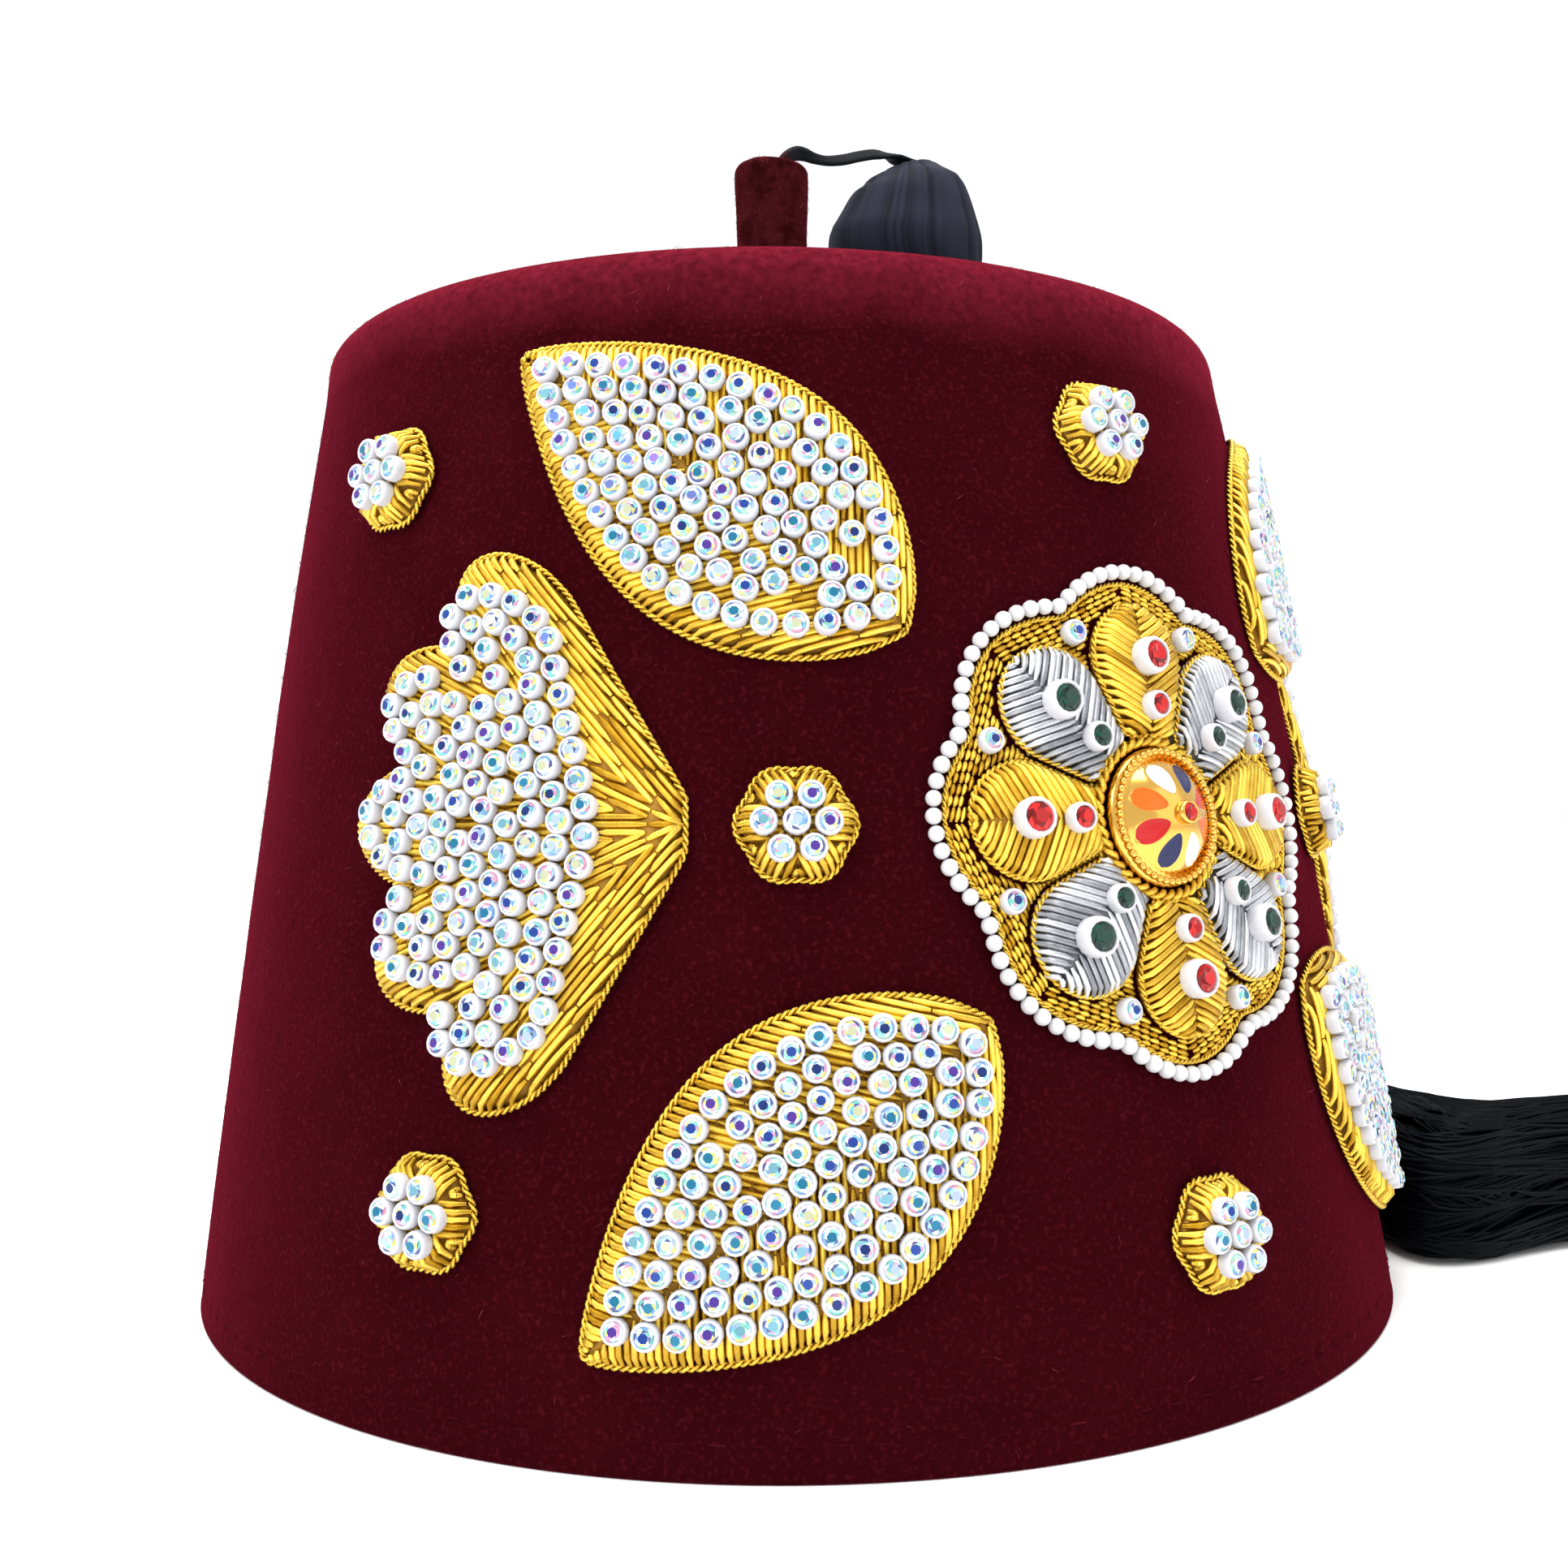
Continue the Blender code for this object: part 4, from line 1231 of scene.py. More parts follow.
@dataclass
class Motif:
    """A padded shape bent round the wall, covered in laid purl and edged with a twisted cord."""

    name: str
    spot: Spot = Spot()
    pads: Sequence[str] = ()  # the nodes that the purl stands for
    fields: Sequence[str] = ()  # the nodes that the cups stand for
    metal: Metal = Metal.GOLD
    stone: Crystal = AURORA
    seed: int = 1
    pitch: float = 0.86 * MM
    longest: float = 8.5 * MM
    thick: float = PAD_THICK
    shoulder: float = 2.0 * MM  # how far in the pad takes to reach its full height
    edging: float = 0.27 * MM  # the edging cord's ply radius
    edging_out: float = 0.25 * MM
    edging_rise: float = 0.55 * MM
    cup_size: Any = 1.0  # a scale for all, or for each
    cup_tilt: float = 0.13
    border: float = 3.6 * MM  # how far inside the outline the outer row of cups lies

    def outline(self, inset: float = 0.0) -> Array:
        """The flat outline, counter-clockwise, drawn in by an inset."""
        raise NotImplementedError

    def lay(self) -> Lay:
        """The directions in which purl is laid, each with its region's test and a point."""
        raise NotImplementedError

    @property
    def rod(self) -> float:
        """A piece of purl's radius, a little over half the pitch, since they press together."""
        return 0.54 * self.pitch

    @property
    def cup_rise(self) -> float:
        """How far off the felt the cups' feet lie."""
        return GAP + self.thick - 0.1 * MM

    def rise(self, depth: Array) -> Array:
        """How far off the felt the purl's middle lies, by its depth inside the outline."""
        low = GAP + self.rod
        high = GAP + self.thick - 0.25 * self.rod
        share = np.clip(depth / self.shoulder, 0, 1)
        return low + (high - low) * np.sqrt(1 - (1 - share) ** 2)

    def core(self) -> tuple[Array, list[Any]]:
        """The padding under the purl, as points and faces of one closed body."""
        ring = even_ring(moved_out(self.outline(), -0.35 * MM), 1.2 * MM)
        step = 1.8 * MM
        spans = zip(ring.min(axis=0), ring.max(axis=0), strict=True)
        grid = np.stack(np.meshgrid(*(np.arange(low + step, high, step) for low, high in spans)), -1)
        grid = grid.reshape(-1, 2)
        grid = grid[inside(grid, ring)]
        grid = grid[edge_distance(grid, ring) > 0.6 * step]
        points = [Vector(p) for p in np.concatenate([ring, grid])]
        edges = [(i, (i + 1) % len(ring)) for i in range(len(ring))]
        flat, _, faces, *_ = delaunay_2d_cdt(points, edges, [], 1, 1e-9)
        flat = np.array([tuple(p) for p in flat])
        out = np.maximum(self.rise(edge_distance(flat, ring)) - 0.45 * self.rod, GAP + 0.15 * MM)
        sheets = [HAT.pattern(self.spot, flat, above) for above in (out, GAP)]
        return np.concatenate(sheets), self.closed_shell(len(flat), [tuple(face) for face in faces])

    @staticmethod
    def closed_shell(count: int, faces: list[Any]) -> list[Any]:
        """The faces of a closed body between two sheets of so many points, the lower one second."""
        sides = dict.fromkeys(pair for face in faces for pair in zip(face, (*face[1:], face[0]), strict=True))
        rim = [(start, stop) for start, stop in sides if (stop, start) not in sides]
        walls = [(stop, start, start + count, stop + count) for start, stop in rim]
        return [*faces, *(tuple(count + i for i in reversed(face)) for face in faces), *walls]

    def chips(self) -> tuple[list[Array], list[Array]]:
        """The purl's paths and swells: straight cut pieces side by side across the pad."""
        random = np.random.default_rng(self.seed)
        ring = self.outline()
        reach = float(np.abs(ring).max() * 1.6)
        step = 0.25 * MM
        along = np.arange(-reach, reach, step)
        rows = int(reach / self.pitch)
        made = []
        for angle, region, pivot in self.lay():
            ahead = np.array([cos(angle), sin(angle)])
            side = np.array([-sin(angle), cos(angle)])
            for i in range(-rows, rows + 1):
                jitter = random.uniform(-0.06, 0.06)
                line = pivot + (i + jitter) * self.pitch * side + along[:, None] * ahead
                for start, stop in self.runs(inside(line, ring) & region(line)):
                    for first, last in self.cuts(stop - start, step, i, random):
                        made.append(self.laid_chip(line[start + first : start + last], ring, random))
        return [path for path, _ in made], [swell for _, swell in made]

    @staticmethod
    def runs(keep: Array) -> list[tuple[int, int]]:
        """The stretches of a line that are kept."""
        marks = np.flatnonzero(np.diff(np.concatenate([[0], keep.astype(int), [0]])))
        return [(a, b) for a, b in zip(marks[::2], marks[1::2], strict=True) if b - a >= 3]

    def cuts(self, count: int, step: float, row: int, random: Any) -> list[tuple[int, int]]:
        """Where a stretch of so many steps is cut into pieces, staggered from row to row."""
        longest = int(self.longest / step)
        if count <= 1.25 * longest:
            return [(0, count)]
        first = int(longest * (0.45 + 0.5 * ((row * 0.382) % 1) + random.uniform(0, 0.06)))
        marks = [0, *range(max(first, 8), count - longest // 3, longest), count]
        return [(a, b) for a, b in zip(marks, marks[1:], strict=False) if b - a >= 5]

    def laid_chip(self, chip: Array, ring: Array, random: Any) -> tuple[Array, Array]:
        """One piece of purl: its path over the pad and how its ends close."""
        share = np.linspace(0, 1, max(4, ceil(len(chip) / 5) + 1))
        end = 2 * np.abs(share - 0.5)
        places = np.arange(len(chip))
        picked = np.stack([np.interp(share * (len(chip) - 1), places, column) for column in chip.T], -1)
        out = self.rise(edge_distance(picked, ring)) + random.uniform(-0.05, 0.09) * MM
        out -= 0.22 * MM * end**6
        return HAT.pattern(self.spot, picked, out), 1 - 0.35 * end**8

    def purl(self) -> Piece:
        """The padding with its purl."""
        core = self.core()
        paths, swells = self.chips()
        laid = [np.ones(len(path)) for path in paths]
        mesh = turned_outwards(path_mesh(self.name, paths, False, core, laid=laid, swell=swells))
        finishes = {"finish": PURLS[self.metal], "core_finish": PADDINGS[self.metal]}
        settings = {"rod_radius": self.rod, "sides": 6, "seed": self.seed, **finishes}
        made = SHOP.rods.grow(f"purl_{self.name}", mesh, **settings)
        return settle(made, self.pads)

    def edge_cord(self) -> Piece:
        """The twisted cord couched along the outline."""
        ring = even_ring(self.outline(), 0.5 * MM)
        for _ in range(3):
            ring = (np.roll(ring, 1, axis=0) + 2 * ring + np.roll(ring, -1, axis=0)) / 4
        ring = even_ring(moved_out(ring, self.edging_out), 0.7 * MM)
        path = HAT.pattern(self.spot, ring, GAP + self.edging_rise)
        settings = {"ply_radius": self.edging, "lay": 7.2 * self.edging, "step": self.edging, "sides": 5}
        return SHOP.gold_cord(f"edging_{self.name}", path, HAT.facing(self.spot, ring), **settings)

    def seats(self) -> Array:
        """The cups' flat middles: a row along the edge, then a tight, uneven pavement inside it."""
        random = np.random.default_rng(self.seed + 100)
        edge = even_ring(self.outline(self.border), 0.3 * MM)
        spots = row = even_ring(edge, CUPS_APART)
        low, high = edge.min(axis=0), edge.max(axis=0)
        reach = 1.03 * CUPS_APART
        for _ in range(8):
            tries = low + (high - low) * random.random((900, 2))
            for point in tries[inside(tries, edge)]:
                if norm(spots - point, axis=1).min() > 0.75 * CUPS_APART:
                    spots = np.vstack([spots, point])
            loose = spots[len(row) :]
            for _ in range(40):
                gaps = loose[:, None] - spots[None]
                away = norm(gaps, axis=-1)
                push = np.where((away > 0) & (away < reach), reach - away, 0) / np.maximum(away, 1e-9)
                wanted = loose + 0.25 * (gaps * push[..., None]).sum(axis=1)
                fits = inside(wanted, edge) & (edge_distance(wanted, edge) > 0.5 * CUPS_APART)
                loose[fits] = wanted[fits]
        kept: list[Array] = []
        for point in spots:
            if all(np.hypot(*(point - other)) >= 0.93 * CUPS_APART for other in kept):
                kept.append(point)
        return np.array(kept)

    def cups(self) -> Piece:
        """White cups with a cut stone in each, a little uneven."""
        random = np.random.default_rng(self.seed + 200)
        spots = self.seats()
        away = HAT.facing(self.spot, spots)
        away = away + random.uniform(-self.cup_tilt, self.cup_tilt, away.shape)
        away /= norm(away, axis=1, keepdims=True)
        size = self.cup_size * random.uniform(0.97, 1.03, len(spots))
        places = HAT.pattern(self.spot, spots, self.cup_rise)
        finishes = {"cup_finish": CUP_WHITE, "stone_finish": self.stone}
        made = SHOP.seated(f"cups_{self.name}", places, away, size, seed=self.seed, **finishes)
        return settle(made, self.fields)

    def build(self) -> list[Piece]:
        """The purl, its edging and its cups."""
        return [self.purl(), self.edge_cord(), self.cups()]


def halves(rise: float, middle: Any, clear: float = 0.0) -> Lay:
    """Purl that rises to both sides of a midrib, for `lay`."""
    right = (rise, lambda points: points[:, 0] >= clear, middle)
    return [right, (pi - rise, lambda points: points[:, 0] < -clear, middle)]


def between(points: Array, low: float, high: float) -> Array:
    """Whether flat points lie between two turns from Y towards X."""
    angles = np.arctan2(points[:, 0], points[:, 1])
    return (angles >= low) & (angles < high)


def wedge(points: Array, middle: float, half: float) -> Array:
    """Whether flat points lie within a turn of a middle one, from Y towards X."""
    return np.abs(apart(np.arctan2(points[:, 0], points[:, 1]), middle)) < half


@dataclass
class Leaf(Motif):
    """A leaf along y: rounded at its base and pointed at its tip, its purl laid as veins."""

    length: float = 60 * MM
    width: float = 33 * MM
    vein: float = radians(38)

    def outline(self, inset: float = 0.0) -> Array:
        """The leaf's outline, drawn in by an inset."""
        length = self.length - 2.6 * inset
        base = -self.length / 2 + 1.05 * inset
        t = np.linspace(0, 1, 26)[1:-1]
        half = (self.width - 2 * inset) / 2 * np.sin(pi * t**0.82) ** 0.85
        right = np.stack([half, base + length * t], -1)
        return np.concatenate([[(0, base)], right, [(0, base + length)], right[::-1] * (-1, 1)])

    def lay(self) -> Lay:
        """Veins that rise from the midrib on both sides."""
        return halves(self.vein, np.zeros(2), 0.2 * MM)


@dataclass
class Fan(Motif):
    """A fan along y from a narrow base, each lobe's purl laid along the lobe."""

    border: float = 4.2 * MM
    length: float = 46 * MM
    step: float = radians(25)
    lobes: int = 5

    def outline(self, inset: float = 0.0) -> Array:
        """The fan's outline, drawn in by an inset."""
        half = self.step * self.lobes / 2
        length = self.length - inset
        steps = 12 * self.lobes
        foot = 3.2 * MM - 0.3 * inset
        swing = half - 2 * half * np.arange(steps + 1) / steps
        lobe = np.abs(np.cos(pi * swing / self.step)) ** 0.7
        tight = half - 1.15 * inset / length
        reach = length * (1 - 0.1 * (swing / half) ** 2) * (0.76 + 0.24 * lobe)
        arch = clock(reach, swing * tight / half)
        return np.concatenate([[(foot, 2.6 * inset)], arch, [(-foot, 2.6 * inset)]])

    def lay(self) -> Lay:
        """Purl along each lobe, met by its neighbours' along the rays between."""
        rays = []
        for i in range(self.lobes):
            swing = (i - (self.lobes - 1) / 2) * self.step
            low = -pi if i == 0 else swing - self.step / 2
            high = pi if i == self.lobes - 1 else swing + self.step / 2
            near = partial(between, low=low, high=high)
            rays.append((pi / 2 - swing, near, clock(0.5 * self.length, swing)))
        return rays


@dataclass
class Petal(Motif):
    """A petal of the big flower, crossed by short slanted purl, with two stones."""

    edging: float = 0.24 * MM
    edging_out: float = -0.2 * MM
    edging_rise: float = 1.0 * MM
    shoulder: float = 1.5 * MM
    cup_size: Any = field(default_factory=lambda: np.array([1.5, 1.12]))
    cup_tilt: float = 0.03
    start: float = 10.2 * MM
    end: float = 27.2 * MM
    clear: float = 0.4 * MM
    large_reach: float = 20.1 * MM
    small_reach: float = 13.9 * MM

    def outline(self, inset: float = 0.0) -> Array:
        """The petal's outline, narrow towards the flower's middle."""
        half = pi / PETALS
        middle = (self.end + self.clear) / (1 + sin(half))
        foot = (self.start * sin(half) - self.clear) / cos(half)
        ring = polar(self.end - middle, np.linspace(-half, pi + half, 25)) + (0, middle)
        sharp = np.concatenate([[(-foot, self.start), (foot, self.start)], ring])
        return moved_out(sharp, -inset) if inset else sharp

    def lay(self) -> Lay:
        """Slanted purl across the petal, rising to both sides."""
        return halves(radians(28), np.array([0, 0.5 * (self.start + self.end)]))

    def seats(self) -> Array:
        """A large and a small one."""
        return np.array([(0, self.large_reach), (0, self.small_reach)])


def flower_edge(swing: Array) -> Array:
    """The string of pearls' reach from the flower's middle, lobed as its petals are."""
    return 28.7 * MM + 2.8 * MM * np.abs(np.cos(PETALS * swing / 2))


@dataclass
class FlowerGround(Motif):
    """Short bright purl couched on the felt between the petals and the pearls, and eight cups."""

    pitch: float = 0.66 * MM
    longest: float = 1.6 * MM
    edging: float = 0.2 * MM
    edging_out: float = 0.08 * MM
    edging_rise: float = 0.42 * MM
    clear: float = 1.5 * MM
    hub: float = 9.3 * MM
    cup_reach: float = 25.1 * MM
    cup_rise: float = 0.5 * MM

    def outline(self, inset: float = 0.0) -> Array:
        """The inner side of the string of pearls."""
        swing = np.linspace(0, -2 * pi, 160, endpoint=False)
        return clock(flower_edge(swing) - self.clear - inset, swing)

    def core(self) -> tuple[Array, list[Any]]:
        """No padding: this purl lies on the felt."""
        return np.zeros((0, 3)), []

    def rise(self, depth: Array) -> Array:
        """The purl lies flat."""
        return np.full(len(depth), self.rod + 0.05 * MM)

    def gap(self, points: Array, swing: float, half: float, shape: Array) -> Array:
        """Whether flat points lie in the gap at a turn, clear of the petals' shape on both sides."""
        kept = wedge(points, swing, half) & (np.hypot(points[:, 0], points[:, 1]) > self.hub)
        for turn in (swing - half, swing + half):
            turned = np.array([[cos(turn), sin(turn)], [-sin(turn), cos(turn)]])
            kept &= ~inside(points @ turned, shape)
        return kept

    def lay(self) -> Lay:
        """Purl across each gap between two petals."""
        step = 2 * pi / PETALS
        place = {"half": step / 2, "shape": moved_out(Petal("petal").outline(), 0.15 * MM)}
        swings = [(i + 0.5) * step for i in range(PETALS)]
        return [(-swing, partial(self.gap, swing=swing, **place), np.zeros(2)) for swing in swings]

    def seats(self) -> Array:
        """A cup in each gap."""
        return clock(self.cup_reach, (np.arange(PETALS) + 0.5) * 2 * pi / PETALS)


@dataclass
class Floret(Motif):
    """A small scalloped flower: a ring of cups round one in the middle."""

    thick: float = 3.0 * MM
    shoulder: float = 1.6 * MM
    cup_size: Any = 1.02
    cup_tilt: float = 0.06
    radius: float = 6.8 * MM
    lobes: int = 6
    cup_reach: float = 3.55 * MM

    def outline(self, inset: float = 0.0) -> Array:
        """The scalloped outline."""
        swing = turns(12 * self.lobes)
        return polar((self.radius - inset) * (0.87 + 0.13 * np.abs(np.cos(self.lobes * swing / 2))), swing)

    def lay(self) -> Lay:
        """Purl that points outwards in each lobe."""
        half = pi / self.lobes
        swings = [2 * half * i for i in range(self.lobes)]
        return [(a, partial(wedge, middle=pi / 2 - a, half=half), np.zeros(2)) for a in swings]

    def seats(self) -> Array:
        """One in the middle and one in each lobe."""
        ring = polar(self.cup_reach, np.arange(self.lobes) * 2 * pi / self.lobes)
        return np.concatenate([[(0.0, 0.0)], ring])


# ---------------- the flower's middle and pearls


@dataclass
class Boss:
    """A polished dome with enamelled cells, in a collar of gold grains."""

    radius: float = 8.8 * MM
    height: float = 5.2 * MM
    cells: int = 8
    sides: int = 96
    rib: float = 0.16 * MM
    cell_span: tuple[float, float] = (0.36, 0.92)  # of the dome's reach
    spot: Spot = Spot()

    @property
    def collar(self) -> float:
        """The collar's height."""
        return 0.36 * self.height

    @property
    def dome(self) -> float:
        """The dome's reach inside the collar."""
        return 0.84 * self.radius

    def placed(self, points: Array) -> Array:
        """Points of the boss's own frame, set square on the wall at the flower's middle."""
        place = HAT.pattern(self.spot, (0.0, 0.0), GAP)
        away = HAT.facing(self.spot, (0.0, 0.0))
        up = np.cross(away, HAT.pattern(self.spot, (MM, 0.0), GAP) - place)
        up /= norm(up)
        return place + points @ np.stack([np.cross(up, away), up, away])

    def height_at(self, reach: float) -> float:
        """The dome's height over its foot at a distance from the middle."""
        rise = self.height - self.collar
        swell = (self.dome**2 + rise**2) / (2 * rise)
        return self.height - swell + sqrt(max(swell**2 - min(reach, self.dome) ** 2, 0))

    def build(self) -> list[Piece]:
        """The dome, its grains, its cord and its stone."""
        shares = np.concatenate([np.linspace(0.03, 0.33, 7), np.linspace(*self.cell_span, 20), [0.96, 1.0]])
        rings = []
        for share in shares:
            z = np.full(self.sides, self.height_at(share * self.dome))
            if self.cell_span[0] < share < self.cell_span[1]:
                z -= self.rib * np.isin(np.arange(self.sides) % 12, range(4, 9))
            rings.append(polar(share * self.dome, self.columns(share), z))
        below = ((1.04 * self.dome, 1), (0.97 * self.radius, 0.9), (self.radius, 0.6), (self.radius, 0))
        rings += [turned_rings([(reach, part * self.collar)], self.sides)[0] for reach, part in below]
        mesh = loft("flower_boss_dome", self.placed(np.array(rings)))
        dome = dressed("flower_boss_dome", mesh, POLISHED_GOLD, *ENAMELS)
        for face in mesh.polygons:
            rows, sides = zip(*(divmod(corner, self.sides) for corner in face.vertices))
            side = min(sides)
            if 7 <= min(rows) < 26 and 3 <= side % 12 <= 8:
                face.material_index = 1 + side // 12 % len(ENAMELS)
        settle(dome, ["flower_boss"])
        return [dome, self.grains(), self.collar_cord(), self.middle()]

    def collar_cord(self) -> Piece:
        """A thick twisted gold cord laid round the boss's foot."""
        ring = polar(self.radius + 0.95 * MM, turns(72))
        path = HAT.pattern(self.spot, ring, 1.1 * MM)
        settings = {"ply_radius": 0.44 * MM, "lay": 3.0 * MM, "step": 0.3 * MM, "sides": 6}
        return SHOP.gold_cord("boss_cord", path, HAT.facing(self.spot, ring), **settings)

    def columns(self, share: float) -> Array:
        """The turns of a ring's points, which keep to the edges of the enamel cells.

        Args:
            share: the ring's part of the dome's reach.

        Returns:
            The turns: in each cell's sector three of gold, six of enamel and three of gold.
        """
        low, high = self.cell_span
        half = 0.015 + 0.35 * sqrt(max(4 * (share - low) * (high - share), 0)) / (high - low)
        spans = [(0, 0.5 - half, 3), (0.5 - half, 0.5 + half, 6), (0.5 + half, 1, 3)]
        sector = np.concatenate([np.linspace(*span, endpoint=False) for span in spans])
        return (np.arange(self.cells)[:, None] + sector).ravel() * 2 * pi / self.cells

    def grains(self) -> Piece:
        """A ring of gold grains on the collar."""
        count = 64
        path = self.placed(polar(0.925 * self.radius, turns(count), np.full(count, 0.42 * self.height)))
        away = np.tile(HAT.facing(self.spot, (0.0, 0.0)), (count, 1))
        settings = {"spacing": 1.06 * MM, "uneven": 0.02, "seed": 3, "finish": POLISHED_GOLD}
        grain = sphere("grain", 0.52 * MM, 10, 6)
        return settle(SHOP.threaded("boss_grains", path, away, grain, **settings))

    def middle(self) -> Piece:
        """One cut stone in a cup on the dome."""
        place = self.placed(np.array([[0, 0, self.height - 0.75 * MM]]))
        away = HAT.facing(self.spot, np.zeros((1, 2)))
        finishes = {"cup_finish": POLISHED_GOLD, "stone_finish": RUBY}
        return settle(SHOP.seated("boss_stone", place, away, np.array([0.95]), seed=4, **finishes))


def sphere(name: str, radius: float, sides: int, rows: int) -> Mesh:
    """A round bead of so many sides and rows, with poles on X."""
    swings = np.linspace(0, pi, rows + 1)[1:-1]
    mesh = loft(name, turned_rings([(radius * sin(a), radius * cos(a)) for a in swings], sides))
    for pole, height in ((-2, radius), (-1, -radius)):
        mesh.vertices[len(mesh.vertices) + pole].co.z = height
    mesh.transform(Matrix.Rotation(pi / 2, 4, "Y"))
    return mesh


@dataclass
class PearlEdging:
    """The string of pearls that follows the flower's petals."""

    radius: float = 1.05 * MM
    spot: Spot = Spot()

    def build(self) -> list[Piece]:
        """The pearls, each a little uneven."""
        swing = turns(480)
        flat = clock(flower_edge(swing), swing)
        path = HAT.pattern(self.spot, flat, GAP + self.radius)
        settings = {"spacing": 2.12 * MM, "uneven": 0.045, "seed": 8, "finish": PEARL}
        pearl = sphere("pearl", self.radius, 14, 9)
        made = SHOP.threaded("pearl_string", path, HAT.facing(self.spot, flat), pearl, **settings)
        return [settle(made, ["pearl_edging"])]


def cup_shapes() -> None:
    """The white cup and the cut stone that sits in it, at their usual size."""
    foot = [(1.46, 0.0), (1.62, 0.3), (1.66, 0.95), (1.58, 1.5)]
    lip = [(1.42, 1.78), (1.26, 1.8), (1.16, 1.66), (1.1, 1.4)]
    SHOP.shape("cup", loft("cup", turned_rings([(r * MM, z * MM) for r, z in foot + lip], 14)))
    sides = 8
    table, star, *girdle = turned_rings(
        [(r * MM, z * MM) for r, z in ((0.58, 2.14), (0.90, 1.96), (1.2, 1.66), (1.2, 1.5))], sides
    )
    star = star @ np.array(Matrix.Rotation(pi / sides, 3, "Z"))
    points = np.concatenate([table, star, *girdle, [(0, 0, 1.2 * MM)]])
    faces: list[tuple[int, ...]] = [tuple(range(sides))]
    for k in range(sides):
        after, before = (k + 1) % sides, (k - 1) % sides
        faces.append((k, sides + before, sides + k))
        faces.append((k, sides + k, after))
        faces.append((2 * sides + k, sides + k, sides + before))
        faces.append((2 * sides + k, 2 * sides + after, sides + k))
        faces.append((3 * sides + k, 3 * sides + after, 2 * sides + after, 2 * sides + k))
        faces.append((3 * sides + after, 3 * sides + k, 4 * sides))
    mesh = plain_mesh("stone", points, (), faces)
    bm = bmesh.new()
    bm.from_mesh(mesh)
    bmesh.ops.recalc_face_normals(bm, faces=bm.faces)
    bm.to_mesh(mesh)
    bm.free()
    store_numbers(mesh, "table", np.eye(1, len(faces)).ravel(), "FACE")
    SHOP.shape("stone", turned_outwards(mesh))


# ---------------- tassel


